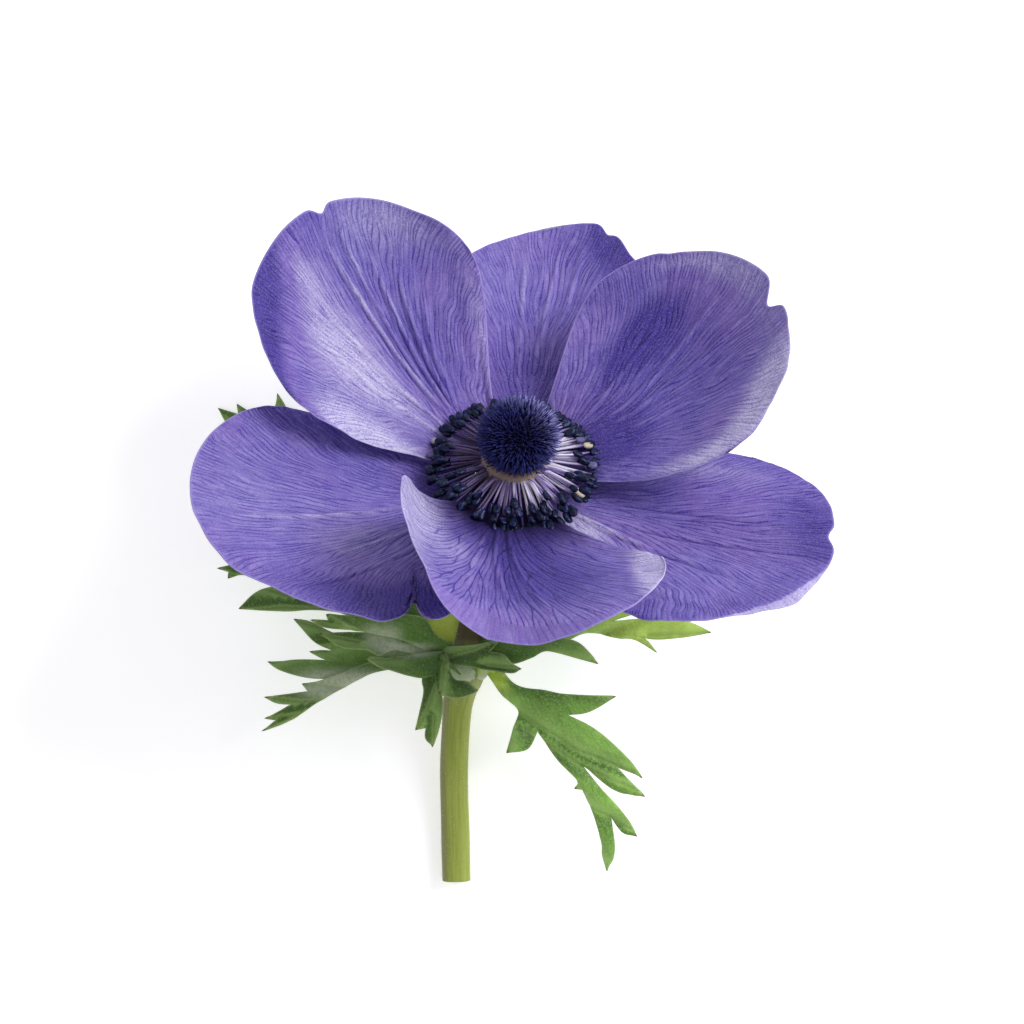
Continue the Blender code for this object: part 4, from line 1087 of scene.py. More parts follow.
def make_petal(name, shape, seed, paint):
    x, y = petal_grid(shape)
    plain = petal_points(shape, x, y)
    margin, foot = distance_to_margin(plain)
    line, spread = vein_lines(shape, seed, x, y, plain)
    triangles = grid_triangles(x.shape[1] - 1, x.shape[0] - 1)
    normals = sheet_normals(plain.reshape(-1, 3), triangles).reshape(plain.shape)
    pleats = pleat_shape(shape, x, y)
    vein = np.exp(-(vein_distance(line, spread, MAIN_VEIN_SPACING, seed) / MAIN_VEIN_WIDTH) ** 2)
    beyond = past_hem(shape, x, y)
    slope, hem_tone = shape["hem"][1:] if shape["hem"] else (0, 0)
    relief = petal_relief(shape, seed, x, y, pleats, margin)
    relief -= VEIN_DEPTH * vein * soft_step(0.0, 2.0, margin)
    relief = (relief - slope * beyond) * off_cuts(shape, x, y)
    points = (plain + normals * relief[..., None]).reshape(-1, 3)
    thick = PETAL_THICK * (PETAL_RIM + (1 - PETAL_RIM) * soft_step(0.0, 4.0, margin)).ravel()
    verts, faces, order, side = thick_sheet(points, triangles, thick)
    petal = new_piece(name + "_veined", verts, faces, paint, BLOOM)
    add_uv(petal, np.stack([line.ravel()[order], foot.ravel()[order]], -1))
    # Painted light: the listed patches of painted sheen and painted shade, plus painted light on the turned
    # hem
    tone = PLEAT_PAINTED_LIGHT * pleats + hem_tone * soft_step(0.0, 0.25, beyond)
    for across, along, width, height, amount in shape["tones"]:
        tone += amount * np.exp(-((x - across) / width) ** 2 - ((y - along) / height) ** 2)
    # Painted shade at the foot of the petal, under the stamens
    dark, reach = shape["shade"]
    values = dict(
        spread=spread, margin=margin, tone=np.clip(tone, -1, 1), plain=soft_step(0.0, 0.3, beyond),
        base=np.minimum(dark * np.exp(-(foot / reach) ** 2), 0.95),
        main=np.full(x.shape, shape["main_veins"]), wander=np.full(x.shape, shape.get("wander", 1.0)))
    for key, value in values.items():
        add_values(petal, key, value.ravel()[order])
    add_values(petal, "under", side)
    hand_over(petal, "petal", name)
    return petal


# ---------------------------------------------------------------- stem

def bloom_axis():
    return (BLOOM.to_3x3() @ Vector((0, 0, 1))).normalized()


def curve_weights(t):
    """How much each of four points in a row counts at t between the middle two (Catmull-Rom)."""
    return ((-t ** 3 + 2 * t * t - t) / 2, (3 * t ** 3 - 5 * t * t + 2) / 2,
            (-3 * t ** 3 + 4 * t * t + t) / 2, (t ** 3 - t * t) / 2)


def smooth_line(points, values, count):
    """A smooth curve through the points, with a value carried along it."""
    nodes = [Vector(p) for p in points]
    nodes = [nodes[0] * 2 - nodes[1]] + nodes + [nodes[-1] * 2 - nodes[-2]]
    carried = [values[0]] + list(values) + [values[-1]]
    line, along = [], []
    for i in range(count):
        t = i / (count - 1) * (len(points) - 1)
        k = min(int(t), len(points) - 2)
        weights = curve_weights(t - k)
        line.append(sum((nodes[k + j] * w for j, w in enumerate(weights)), Vector((0, 0, 0))))
        along.append(sum(carried[k + j] * w for j, w in enumerate(weights)))
    return line, along


def stem_rings():
    """The stem's rings from its cut end to the head inside the bloom."""
    line, radii = smooth_line([p for p, _ in STEM_LINE], [r for _, r in STEM_LINE], STEM_RINGS)
    rings = rings_along(line, radii, STEM_SIDES, (1, 0, 0))
    axis = bloom_axis()
    across = (Vector((1, 0, 0)) - axis.x * axis).normalized()
    heights, radii = smooth_line([(h, 0, 0) for h, _ in STEM_HEAD], [r for _, r in STEM_HEAD], HEAD_RINGS)
    for height, radius in zip(heights, radii):
        rings.append(ring(BLOOM_BASE + axis * height.x, across, axis.cross(across), radius, STEM_SIDES))
    first = rings[0]
    centre = sum(first, Vector((0, 0, 0))) / len(first)
    ahead = (line[1] - line[0]).normalized()
    cut = [[centre + (p - centre) * share + ahead * inwards for p in first] for share, inwards in STEM_END]
    return cut + [[p + ahead * 0.12 for p in first]] + rings[1:]


def make_stem(paint):
    points = np.array([[tuple(p) for p in r] for r in stem_rings()])
    count = len(points)
    turns = np.arange(STEM_SIDES) / STEM_SIDES
    round_about, along = np.meshgrid(turns, np.arange(count) * 0.3)
    grow = 1 + STEM_RIB_HEIGHT * np.sin(2 * math.pi * turns * STEM_RIBS)[None, :]
    grow = grow + 0.02 * waves(SEED, 1.0, np.cos(2 * np.pi * round_about) * 0.7, along / 9)
    middle = points.mean(axis=1, keepdims=True)
    points = middle + (points - middle) * grow[..., None]
    points[..., 2] = np.maximum(points[..., 2], 0.0)
    verts, faces = loft(points)
    stem = new_piece("stem_ribbed", verts, faces, paint, LAID)
    places = points.reshape(-1, 3)
    add_uv(stem, np.stack([np.abs(round_about * 2 - 1).ravel(), along.ravel()], -1))
    from_node = np.linalg.norm(places - np.array(NODE_AT), axis=1)
    away = places[:, 0] - np.repeat(middle[:, 0, 0], STEM_SIDES)
    rows = np.repeat(np.arange(count), STEM_SIDES)
    add_values(stem, "wool", np.exp(-(from_node / 3.4) ** 2))
    # Painted shade in the neck, under the bloom
    add_values(stem, "neck", soft_step(-20.5, -18.0, places[:, 1]))
    add_values(stem, "bare", 0.8 * soft_step(-21.0, -19.0, places[:, 1]))
    # The -X side, away from the light: partly painted shade
    add_values(stem, "brown", soft_step(0.7, 1.9, -away))
    add_values(stem, "cut_end", (rows < len(STEM_END)).astype(float))
    hand_over(stem, "stem", "stem")
    return stem


# ---------------------------------------------------------------- leaves

def blade_points(blade, flat):
    """Points of a leaf blade, from their places in the flat outline."""
    along, across = flat[:, 0], flat[:, 1]
    root = np.array((*blade["root"], 0.0))
    line = np.array((*blade["tip"], 0.0)) - root
    run = np.linalg.norm(line)
    heading = line / run
    f = along / run
    low, handle, high = blade["rise"]
    height = (1 - f) ** 2 * low + 2 * f * (1 - f) * handle + f ** 2 * high
    slope = np.arctan2(2 * ((1 - f) * (handle - low) + f * (high - handle)), run)
    side = np.array((-heading[1], heading[0], 0.0))
    up = np.array((0.0, 0.0, 1.0))
    normal = -np.sin(slope)[:, None] * heading + np.cos(slope)[:, None] * up
    roll, keel = math.radians(blade["roll"]), math.radians(blade["keel"])
    rolled_side = math.cos(roll) * side + math.sin(roll) * normal
    rolled_normal = math.cos(roll) * normal - math.sin(roll) * side
    place = root + heading * along[:, None]
    place[:, 2] = height
    return (place + rolled_side * (across * math.cos(keel))[:, None]
            + rolled_normal * (np.abs(across) * math.sin(keel))[:, None])


def is_corner(before, here, after):
    return abs((here - before).angle_signed(after - here, 0.0)) > math.radians(CORNER)


def rounded_outline(outline, step):
    """The outline with its gentle bends run through smoothly and its teeth and notches kept."""
    corners = [Vector(p) for p in outline]
    count = len(corners)
    sharp = [is_corner(corners[i - 1], corners[i], corners[(i + 1) % count]) for i in range(count)]
    sharp[0] = sharp[-1] = True
    points = []
    for i in range(count - 1):
        a, b = corners[i], corners[i + 1]
        before = a * 2 - b if sharp[i] else corners[i - 1]
        after = b * 2 - a if sharp[i + 1] else corners[(i + 2) % count]
        pieces = max(2, round((b - a).length / step))
        for k in range(pieces):
            weights = curve_weights(k / pieces)
            points.append(sum((p * w for p, w in zip((before, a, b, after), weights)), Vector((0, 0))))
    points.append(corners[-1])
    return points


def lobe_tips(outline):
    """The outline's teeth that point away from the root: where its side ribs end."""
    corners = [Vector(p) for p in outline]
    tips = []
    for before, here, after in zip(corners, corners[1:], corners[2:]):
        turn = (here - before).angle_signed(after - here, 0.0)
        if turn < -math.radians(LOBE_CORNER) and here.x > 0:
            tips.append(here)
    return tips


def distance_to_line(points, a, b):
    a, b = np.array(a), np.array(b)
    edge = b - a
    t = np.clip(((points - a) @ edge) / max(edge @ edge, 1e-9), 0, 1)
    return np.linalg.norm(points - a - t[:, None] * edge, axis=1)


def in_outline(points, outline):
    """Which points lie inside the outline."""
    odd = np.zeros(len(points), bool)
    for a, b in zip(outline, outline[1:] + outline[:1]):
        crosses = (a[1] > points[:, 1]) != (b[1] > points[:, 1])
        rise = b[1] - a[1] if b[1] != a[1] else 1e-9
        odd ^= crosses & (points[:, 0] < a[0] + (points[:, 1] - a[1]) * (b[0] - a[0]) / rise)
    return odd


def distance_to_outline(points, outline):
    distance = np.full(len(points), 1e9)
    for a, b in zip(outline, outline[1:] + outline[:1]):
        distance = np.minimum(distance, distance_to_line(points, a, b))
    return distance


def flat_blade(border):
    """The flat blade inside its border, as places and triangles of an even net."""
    low, high = np.min(border, axis=0), np.max(border, axis=0)
    xs = np.arange(low[0], high[0], LEAF_GRID)
    ys = np.arange(low[1], high[1], LEAF_GRID * 0.87)
    gx, gy = np.meshgrid(xs, ys)
    gx = gx + (np.arange(len(ys)) % 2)[:, None] * LEAF_GRID / 2
    spots = np.stack([gx.ravel(), gy.ravel()], -1)
    spots = spots[in_outline(spots, border)]
    spots = spots[distance_to_outline(spots, border) > LEAF_GRID * 0.45]
    everything = [Vector(p) for p in border] + [Vector(s) for s in spots]
    flat, _, faces, _, _, _ = delaunay_2d_cdt(everything, [], [list(range(len(border)))], 1, 1e-5)
    return np.array([tuple(p) for p in flat]), np.array(faces)


def rib_distances(flat, outline):
    """Distance to the nearest rib, which side of it, and distance to the nearest lobe's tip."""
    ribs = np.full(len(flat), 1e9)
    beside = np.zeros(len(flat))
    tip_distance = np.full(len(flat), 1e9)
    for tip in lobe_tips(outline):
        # Each rib leaves the midline behind its lobe and bends towards the tip
        back = max(0.0, tip.x - 1.1 * abs(tip.y) - 3.0) * 0.8
        elbow = (tip.x * 0.55 + back * 0.45, tip.y * 0.45)
        for a, b in (((back, 0.0), elbow), (elbow, tuple(tip * 0.97))):
            away = distance_to_line(flat, a, b)
            side = (b[0] - a[0]) * (flat[:, 1] - a[1]) - (b[1] - a[1]) * (flat[:, 0] - a[0])
            beside = np.where(away < ribs, np.sign(side), beside)
            ribs = np.minimum(ribs, away)
        tip_distance = np.minimum(tip_distance, np.linalg.norm(flat - np.array(tip), axis=1))
    return ribs, beside, tip_distance


def blade_mesh(blade, seed):
    """One thin blade, grooved along its ribs: its points, faces and values for its material."""
    border = [tuple(p) for p in rounded_outline(blade["outline"], LEAF_GRID * 0.8)]
    flat, triangles = flat_blade(border)
    margin = distance_to_outline(flat, border)
    ribs, beside, tip_distance = rib_distances(flat, blade["outline"])
    groove = np.exp(-(ribs / GROOVE_WIDTH) ** 2)
    # Which side of the nearest rib a place lies on, for painted light on one side and painted shade on the
    # other
    fold_painted_light = beside * np.exp(-ribs / 1.3) * (1 - np.exp(-(ribs / 0.5) ** 2))
    points = blade_points(blade, flat)
    normals = sheet_normals(points, triangles)
    if normals[:, 2].mean() < 0:
        triangles = triangles[:, ::-1]
        normals = -normals
    relief = PILLOW_SLOPE * np.minimum(ribs, PILLOW_REACH) - GROOVE_DEPTH * groove
    relief += 0.16 * waves(seed, 1.0, flat[:, 0] / 7, flat[:, 1] / 5)
    relief += 0.05 * waves(seed + 1, 1.0, flat[:, 0] / 1.8, flat[:, 1] / 1.4)
    relief -= RIM_DROP * np.exp(-margin / 0.5)
    points = points + normals * relief[:, None]
    points[:, 2] = np.maximum(points[:, 2], LEAF_LOWEST)
    thick = LEAF_THICK * (LEAF_RIM + (1 - LEAF_RIM) * soft_step(0.0, 1.0, margin))
    verts, faces, order, side = thick_sheet(points, triangles, thick)
    values = dict(rib=groove[order], margin=margin[order], tip=tip_distance[order], under=side,
                  fold_painted_light=fold_painted_light[order])
    return verts, faces, flat[order], values


def stem_direction():
    ends = [Vector(place) for place, _ in STEM_LINE]
    near = min(range(1, len(ends) - 1), key=lambda i: (ends[i] - NODE_AT).length)
    return (ends[near + 1] - ends[near - 1]).normalized()


def round_stem(angle, radius, forward=0.0):
    """A point beside the stem at the node: 0 degrees is towards +X and 90 is on top."""
    ahead = stem_direction()
    across = (Vector((1, 0, 0)) - ahead.x * ahead).normalized()
    up = across.cross(ahead)
    a = math.radians(angle)
    return NODE_AT + radius * (math.cos(a) * across + math.sin(a) * up) + forward * ahead


def sheath_mesh(start, end):
    """The foot of a leaf: a curved wall that clasps part of the stem, rounded all over."""
    count = max(8, round((end - start) / 6))
    middle = (SHEATH_INNER + SHEATH_OUTER) / 2
    rings = []
    for i in range(count + 1):
        f = i / count
        angle = start + (end - start) * f
        taper = math.sin(math.pi * min(max(f, 0.04), 0.96)) ** 0.35
        points = []
        for k in range(SHEATH_SIDES):
            a = 2 * math.pi * k / SHEATH_SIDES
            radius = middle + (SHEATH_OUTER - SHEATH_INNER) / 2 * math.cos(a) * taper
            forward = SHEATH_LENGTH / 2 * math.sin(a) * taper
            points.append(round_stem(angle, radius, forward))
        rings.append(points)
    return loft(rings)


def angle_to(place):
    """The angle round the stem at which a place is seen from the node."""
    return min(range(-90, 270, 5), key=lambda a: (round_stem(a, 4.0) - place).length)


def stalk_mesh(blade, angle):
    """The rib that joins a blade to its sheath, running out along the blade's underside."""
    root = Vector((*blade["root"], blade["rise"][0]))
    flat = np.array([(1.5, 0.0), (3.5, 0.0)])
    nearer, further = [Vector(p) - Vector((0, 0, 0.35)) for p in blade_points(blade, flat)]
    line, radii = smooth_line([round_stem(angle, 2.8), root, nearer, further],
                              [STALK_RADIUS, STALK_RADIUS * 0.9, STALK_RADIUS * 0.55, 0.15], STALK_RINGS)
    return loft(rings_along(line, radii, STALK_SIDES, (0.3, 0.5, 0.8)))


def spots_at(spots, places):
    total = np.zeros(len(places))
    for x, y, wide, high, amount in spots:
        total += amount * np.exp(-((places[:, 0] - x) / wide) ** 4 - ((places[:, 1] - y) / high) ** 4)
    return np.minimum(total, 1.0)


def make_leaf(name, leaf, paint, seed):
    """One bract: its blades, each with its stalk, and the sheath that they grow from."""
    start, end = leaf["sheath"]
    all_verts, all_faces, all_flat = [], [], []
    values = {key: [] for key in ("rib", "margin", "tip", "under", "fold_painted_light", "silver", "tone")}

    def add(verts, faces, flat, given):
        count = sum(len(part) for part in all_verts)
        all_verts.append(np.array([tuple(v) for v in verts]))
        all_faces.extend([tuple(int(i) + count for i in f) for f in faces])
        all_flat.append(flat)
        for key, parts in values.items():
            parts.append(np.broadcast_to(given.get(key, 0.0), len(verts)))

    for i, (blade, tone) in enumerate(zip(leaf["blades"], LEAF_TONES_AND_LIGHT[name])):
        verts, faces, flat, given = blade_mesh(blade, seed + 10 * i)
        add(verts, faces, flat, dict(given, tone=tone))
        root = Vector((*blade["root"], blade["rise"][0]))
        verts, faces = stalk_mesh(blade, max(start + 10, min(end - 10, angle_to(root))))
        add(verts, faces, np.array([v[:2] for v in verts]), dict(STALK_FINISH, tone=tone))
    verts, faces = sheath_mesh(start, end)
    add(verts, faces, np.array([v[:2] for v in verts]), SHEATH_FINISH)
    places = np.concatenate(all_verts)
    values = {key: np.concatenate(parts) for key, parts in values.items()}
    values["silver"] = np.maximum(values["silver"], spots_at(LEAF_SILVER.get(name, ()), places))
    # Spots of painted light where light shines through a blade
    values["yellow"] = spots_at(LEAF_PAINTED_LIGHT.get(name, ()), places)
    item = new_piece(name + "_lobed", places, all_faces, paint, LAID)
    add_uv(item, np.concatenate(all_flat))
    for key, value in values.items():
        add_values(item, key, value)
    hand_over(item, "leaf", name)
    return item


# ---------------------------------------------------------------- repeats made by Geometry Nodes

class GeometryTree(Tree):
    """A Geometry Nodes tree with named inputs."""

    def __init__(self, name, sizes):
        group = bpy.data.node_groups.new(name, "GeometryNodeTree")
        super().__init__(group)
        self.group = group
        group.interface.new_socket(name="Geometry", in_out="INPUT", socket_type="NodeSocketGeometry")
        self.sockets = {}
        for key, value in sizes.items():
            kind = {int: "NodeSocketInt", float: "NodeSocketFloat"}.get(type(value), "NodeSocketObject")
            self.sockets[key] = group.interface.new_socket(name=key, in_out="INPUT", socket_type=kind)
        group.interface.new_socket(name="Geometry", in_out="OUTPUT", socket_type="NodeSocketGeometry")
        inputs = self.add("NodeGroupInput").outputs
        self.given = {key: Wire(self, inputs[key]) for key in ("Geometry", *sizes)}

    def random(self, low, high, seed, number):
        """A number drawn between low and high, or a vector where those are vectors."""
        vectors = isinstance(low, tuple)
        first, kind = (0, "FLOAT_VECTOR") if vectors else (2, "FLOAT")
        draw = {first: low, first + 1: high, "Seed": seed, "ID": number}
        return self.out("FunctionNodeRandomValue", draw, 0 if vectors else 1, data_type=kind)

    def index(self):
        return self.out("GeometryNodeInputIndex")

    def here(self):
        return self.split(self.out("GeometryNodeInputPosition"))

    def kept(self, name, kind="FLOAT"):
        return self.out("GeometryNodeInputNamedAttribute", {"Name": name}, "Attribute", data_type=kind)

    def keep(self, geometry, name, value, domain="POINT", kind="FLOAT"):
        return self.out("GeometryNodeStoreNamedAttribute",
                        {"Geometry": geometry, "Name": name, "Value": value}, data_type=kind, domain=domain)

    def moved(self, geometry, places):
        return self.out("GeometryNodeSetPosition", {"Geometry": geometry, "Position": places})

    def instances(self, points, shape, **placing):
        return self.out("GeometryNodeInstanceOnPoints", dict(placing, Points=points, Instance=shape))

    def realized(self, geometry):
        return self.out("GeometryNodeRealizeInstances", {"Geometry": geometry})

    def end(self, geometry, paint):
        smooth = self.out("GeometryNodeSetShadeSmooth", {"Geometry": self.realized(geometry)})
        painted = self.out("GeometryNodeSetMaterial", {"Geometry": smooth, "Material": paint})
        self.add("NodeGroupOutput", {"Geometry": painted})


def run_tree(name, tree, sizes, base=None):
    """A plain mesh object from a Geometry Nodes tree, with the sizes given to its named inputs."""
    mesh = base.data.copy() if base else bpy.data.meshes.new(name)
    item = bpy.data.objects.new(name, mesh)
    bpy.context.scene.collection.objects.link(item)
    modifier = item.modifiers.new("grow", "NODES")
    modifier.node_group = tree.group
    for key, value in sizes.items():
        modifier[tree.sockets[key].identifier] = value
    graph = bpy.context.evaluated_depsgraph_get()
    made = bpy.data.meshes.new_from_object(item.evaluated_get(graph))
    item.modifiers.clear()
    item.data = made
    made.name = name
    return item


def stamen_places(tree, number, along):
    """Where a stamen's filament runs, in the bloom's frame: its foot stands round the dome's neck
    and its end arches out to the anther.  number picks the stamen, along runs from 0 to 1."""
    given = tree.given
    turn = number * (2 * math.pi / given["Count"]) + tree.random(-0.09, 0.09, given["Seed"], number)
    reach = given["Reach"] + given["Spread"] * tree.random(-1.0, 1.0, 11, number)
    height = given["Height"] + given["Spread"] * tree.random(-1.0, 1.0, 12, number)
    foot_out, foot_up = FILAMENT_FOOT
    rest = 1.0 - along
    first = rest * rest
    middle = 2.0 * along * rest
    last = along * along
    out = first * foot_out + middle * (foot_out + 0.35 * (reach - foot_out)) + last * reach
    up = first * foot_up + middle * (height + 0.4) + last * height
    turn = turn + last * tree.random(-0.05, 0.05, 13, number)
    return tree.scaled(tree.xyz(out * tree.math("COSINE", turn), out * tree.math("SINE", turn), up), MM)


def filament_tree(paint):
    """Thin threads from the dome's foot to the anthers."""
    tree = GeometryTree("filaments", dict(STAMEN_SIZES, Radius=FILAMENT_RADIUS))
    points = tree.out("GeometryNodePoints", {"Count": tree.given["Count"]})
    line = tree.out("GeometryNodeCurvePrimitiveLine", {"Start": (0, 0, 0), "End": (0, 0, 1)})
    thread = tree.out("GeometryNodeResampleCurve", {"Curve": line, "Count": FILAMENT_RINGS})
    laid = tree.keep(tree.instances(points, thread), "number", tree.index(), "INSTANCE", "INT")
    along = tree.out("GeometryNodeSplineParameter", None, "Factor")
    number = tree.kept("number", "INT")
    placed = tree.moved(tree.realized(laid), stamen_places(tree, number, along))
    placed = tree.keep(placed, "along", along)
    placed = tree.keep(placed, "chance", tree.random(0.0, 1.0, 5, number))
    # How far each place lies towards +X, for painted light on that side
    placed = tree.keep(placed, "facing", tree.here()[0] / (8.0 * MM))
    round_shape = tree.out("GeometryNodeCurvePrimitiveCircle", {"Resolution": FILAMENT_SIDES})
    tube = tree.out("GeometryNodeCurveToMesh", {
        "Curve": placed, "Profile Curve": round_shape, "Scale": tree.given["Radius"] * MM, "Fill Caps": True})
    tree.end(tube, paint)
    return tree


def anther_tree(paint):
    """An anther at the end of every filament, tilted a little at random."""
    tree = GeometryTree("anthers", dict(STAMEN_SIZES, Size=1.0, Anther=None))
    given = tree.given
    points = tree.out("GeometryNodePoints", {"Count": given["Count"]})
    number = tree.index()
    end = stamen_places(tree, number, 1.0)
    before = stamen_places(tree, number, 0.75)
    placed = tree.keep(tree.moved(points, end), "number", number, "POINT", "INT")
    heading = tree.vector("NORMALIZE", tree.vector("SUBTRACT", end, before))
    heading = tree.vector("ADD", heading, tree.random((-0.35, -0.35, -0.45), (0.35, 0.35, 0.25), 21, number))
    aim = tree.out("FunctionNodeAlignEulerToVector", {"Vector": heading}, axis="X")
    spin = tree.out("FunctionNodeRotateEuler", {
        "Rotation": aim, "Axis": heading, "Angle": tree.random(-0.7, 0.7, 22, number)},
        rotation_type="AXIS_ANGLE", space="OBJECT")
    shape = tree.out("GeometryNodeObjectInfo", {"Object": given["Anther"]}, "Geometry")
    size = given["Size"] * tree.random(0.82, 1.15, 23, number)
    laid = tree.instances(placed, shape, Rotation=spin, Scale=size)
    chance = tree.random(0.0, 1.0, given["Seed"], tree.kept("number", "INT"))
    tree.end(tree.keep(laid, "chance", chance, "INSTANCE"), paint)
    return tree


def anther_mesh():
    """One anther along +X from its foot: a bean with a furrow down its upper face."""
    rings = []
    for i in range(ANTHER_RINGS):
        t = 0.5 - 0.492 * math.cos(math.pi * i / (ANTHER_RINGS - 1))
        reach = (1 - abs(2 * t - 1) ** 2.8) ** 0.5
        points = []
        for k in range(ANTHER_SIDES):
            a = 2 * math.pi * k / ANTHER_SIDES
            furrow = 1 - 0.3 * math.exp(-((a - math.pi / 2) / 0.4) ** 2)
            furrow *= 1 - 0.25 * math.exp(-((a - 3 * math.pi / 2) / 0.4) ** 2)
            radius = ANTHER_WIDTH / 2 * reach * furrow
            points.append(Vector(((t - 0.2) * ANTHER_LENGTH, radius * math.cos(a),
                                  radius * 0.85 * math.sin(a) - 0.1 * math.sin(math.pi * t))))
        rings.append(points)
    return loft(rings)


def bristle_tree(name, paint):
    """Fine tapered bristles that stand on a surface, leaning at random; none where it is bare."""
    tree = GeometryTree(name, dict(Density=1.0, Length=1.0, Radius=0.05, Lean=0.5, Seed=1))
    given = tree.given
    spread = tree.add("GeometryNodeDistributePointsOnFaces", {
        "Mesh": given["Geometry"], "Density": given["Density"] * (1.0 - tree.kept("bare")),
        "Seed": given["Seed"]})
    normal = Wire(tree, spread.outputs["Normal"])
    points = tree.keep(Wire(tree, spread.outputs["Points"]), "aim", normal, kind="FLOAT_VECTOR")
    number = tree.index()
    lean = tree.random((-1.0, -1.0, -1.0), (1.0, 1.0, 1.0), 31, number)
    aim = tree.vector("ADD", normal, tree.scaled(lean, given["Lean"]))
    turn = tree.out("FunctionNodeAlignEulerToVector", {"Vector": aim}, axis="Z")
    length = given["Length"] * tree.random(0.55, 1.15, 32, number)
    size = tree.scaled(tree.xyz(given["Radius"], given["Radius"], length), MM)
    cone = tree.out("GeometryNodeMeshCone", {
        "Vertices": 4, "Side Segments": 3, "Radius Top": 0.25, "Radius Bottom": 1.0, "Depth": 1.0}, "Mesh")
    bristle = tree.keep(cone, "along", tree.here()[2])
    laid = tree.instances(points, bristle, Rotation=turn, Scale=size)
    laid = tree.keep(laid, "chance", tree.random(0.0, 1.0, 33, tree.index()), "INSTANCE")
    # Which way each bristle faces along +X +Y, for painted highlights on that side
    facing = tree.split(tree.kept("aim", "FLOAT_VECTOR"))
    tree.end(tree.keep(laid, "facing", facing[0] + facing[1], "INSTANCE"), paint)
    return tree


def into_bloom(item):
    """Puts a mesh made in the bloom's frame, in metres, where the bloom lies."""
    place = BLOOM.copy()
    place.translation = place.translation * MM
    item.data.transform(place)


def make_hairs(piece, name, tree, slot, node, sizes):
    """Fine pale hairs that stand on a piece."""
    hairs = run_tree(name, tree, sizes, piece)
    for vertex in hairs.data.vertices:
        vertex.co.z = max(vertex.co.z, 0.0)
    hand_over(hairs, slot, node)


def join_meshes(name, items):
    for item in bpy.context.view_layer.objects:
        item.select_set(item in items)
    bpy.context.view_layer.objects.active = items[0]
    bpy.ops.object.join()
    items[0].name = name
    items[0].data.name = name
    items[0].select_set(False)
    return items[0]


def make_stamens(filament_paint, anther_paint):
    anther = new_piece("one_anther", *anther_mesh(), anther_paint)
    threads = filament_tree(filament_paint)
    beans = anther_tree(anther_paint)
    filaments, anthers = [], []
    for i, row in enumerate(ANTHER_ROWS):
        sizes = dict(Count=row["count"], Reach=row["reach"], Height=row["height"], Spread=row["spread"],
                     Seed=SEED + i)
        filaments.append(run_tree(f"filaments_{i}", threads, dict(sizes, Radius=FILAMENT_RADIUS)))
        anthers.append(run_tree(f"anthers_{i}", beans, dict(sizes, Size=1.0, Anther=anther)))
    bpy.data.objects.remove(anther)
    filaments = join_meshes("stamen_filaments", filaments)
    anthers = join_meshes("stamen_anthers", anthers)
    for item in (filaments, anthers):
        into_bloom(item)
        hand_over(item, "stamen", "stamens")


def make_pistil(dome_paint, brush_paint):
    profile = [(NECK_RADIUS + 1.3, NECK_FOOT - 1.5), (NECK_RADIUS + 1.4, NECK_FOOT + 1.0),
               (NECK_RADIUS + 1.1, NECK_FOOT + 1.6), (NECK_RADIUS + 0.4, NECK_FOOT + 2.5)]
    for angle in range(-38, 90, 6):
        a = math.radians(angle)
        profile.append((DOME_RADIUS * math.cos(a), DOME_MIDDLE + DOME_HALF_HEIGHT * math.sin(a)))
    verts, faces = turned(profile, DOME_SIDES)
    verts = [(x + DOME_ASIDE * soft_step(NECK_FOOT, DOME_MIDDLE, z), y, z) for x, y, z in verts]
    dome = new_piece("pistil_dome", verts, faces, dome_paint)
    heights = np.array([v[2] for v in verts])
    add_values(dome, "wool", 1 - soft_step(NECK_FOOT + 1.8, NECK_FOOT + 3.2, heights))
    add_values(dome, "bare", 1 - soft_step(NECK_FOOT + 2.4, NECK_FOOT + 3.0, heights))
    tree = bristle_tree("styles", brush_paint)
    brush = run_tree("pistil_styles", tree, STYLES, dome)
    for item in (dome, brush):
        into_bloom(item)
        hand_over(item, "pistil", "pistil")


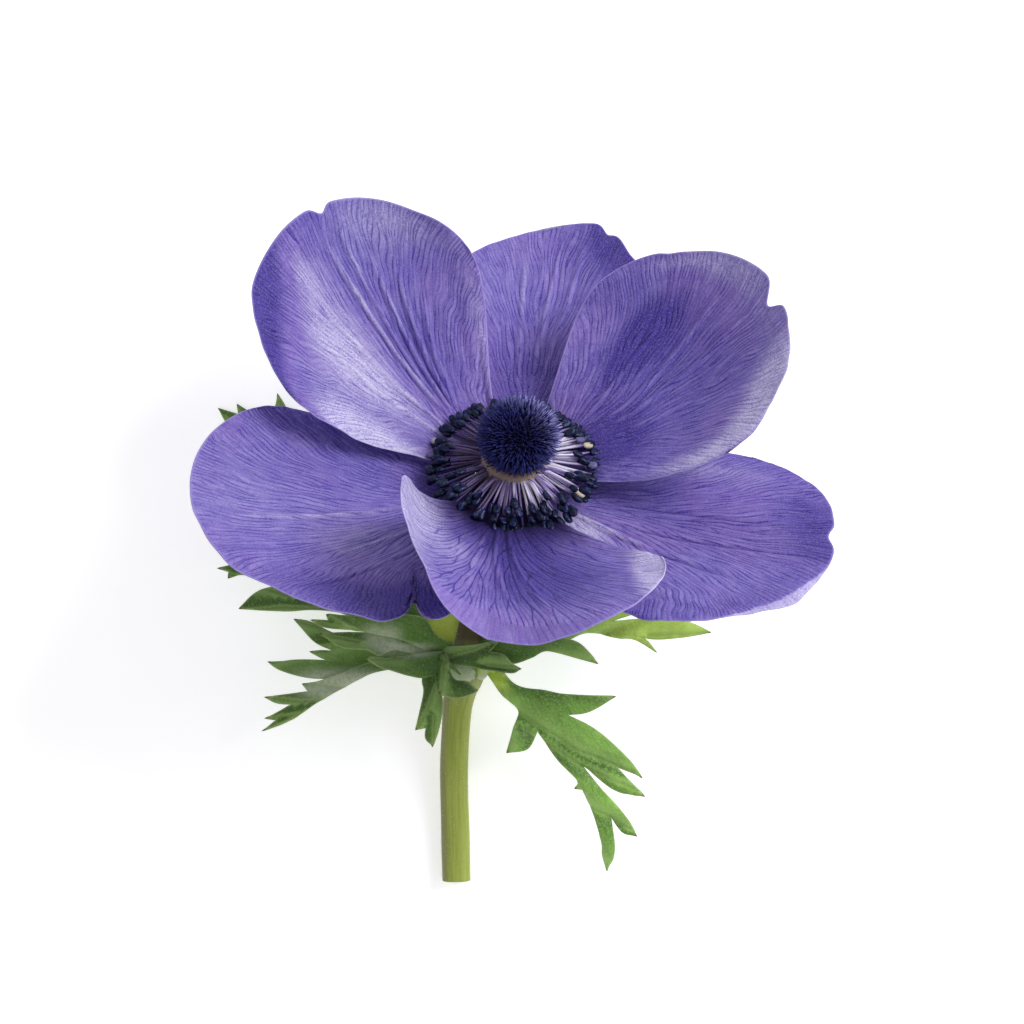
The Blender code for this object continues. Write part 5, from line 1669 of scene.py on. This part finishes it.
# ---------------------------------------------------------------- stage, light and camera

def add_window():
    """One round soft light, up and to the right of the flower."""
    light = bpy.data.lights.new("window", "AREA")
    light.shape = "DISK"
    light.size = WINDOW["size"]
    light.energy = WINDOW["power"]
    item = bpy.data.objects.new("window", light)
    bpy.context.scene.collection.objects.link(item)
    item.location = WINDOW["place"]
    towards = Vector(WINDOW["aim"]) - Vector(WINDOW["place"])
    item.rotation_euler = towards.to_track_quat("-Z", "Y").to_euler()


def make_stage():
    half = FLOOR_SIZE / 2 / MM
    verts = [(-half, -half, 0), (half, -half, 0), (half, half, 0), (-half, half, 0)]
    floor = new_piece("floor", verts, [(0, 1, 2, 3)], floor_material())
    add_window()
    world = bpy.data.worlds.new("studio")
    world.use_nodes = True
    sky = world.node_tree.nodes["Background"]
    sky.inputs["Color"].default_value = (1.0, 1.0, 1.0, 1.0)
    sky.inputs["Strength"].default_value = SKY_GLOW
    bpy.context.scene.world = world
    camera = bpy.data.cameras.new("camera")
    camera.lens = CAMERA_LENS
    camera.sensor_width = 36.0
    camera.clip_start = 0.01
    camera.clip_end = 100.0
    item = bpy.data.objects.new("camera", camera)
    bpy.context.scene.collection.objects.link(item)
    item.location = Vector(CAMERA_AT) * MM
    bpy.context.scene.camera = item
    bpy.context.scene.view_settings.view_transform = "Standard"


def main():
    petal_paint = petal_material(vein_group())
    for i, (name, shape) in enumerate(PETALS.items()):
        make_petal(name, dict(shape, **PETAL_FINISH[name]), SEED + 20 * i, petal_paint)
    hair_tree = bristle_tree("hairs", hair_material())
    stem = make_stem(stem_material())
    make_hairs(stem, "stem_hairs", hair_tree, "stem", "stem", STEM_HAIRS)
    leaf_paint = leaf_material()
    for i, (name, leaf) in enumerate(LEAVES.items()):
        item = make_leaf(name, leaf, leaf_paint, SEED + 200 + 100 * i)
        make_hairs(item, name + "_hairs", hair_tree, "leaf", name, LEAF_HAIRS)
    make_stamens(filament_material(), anther_material())
    make_pistil(dome_material(), style_material())
    make_stage()


main()
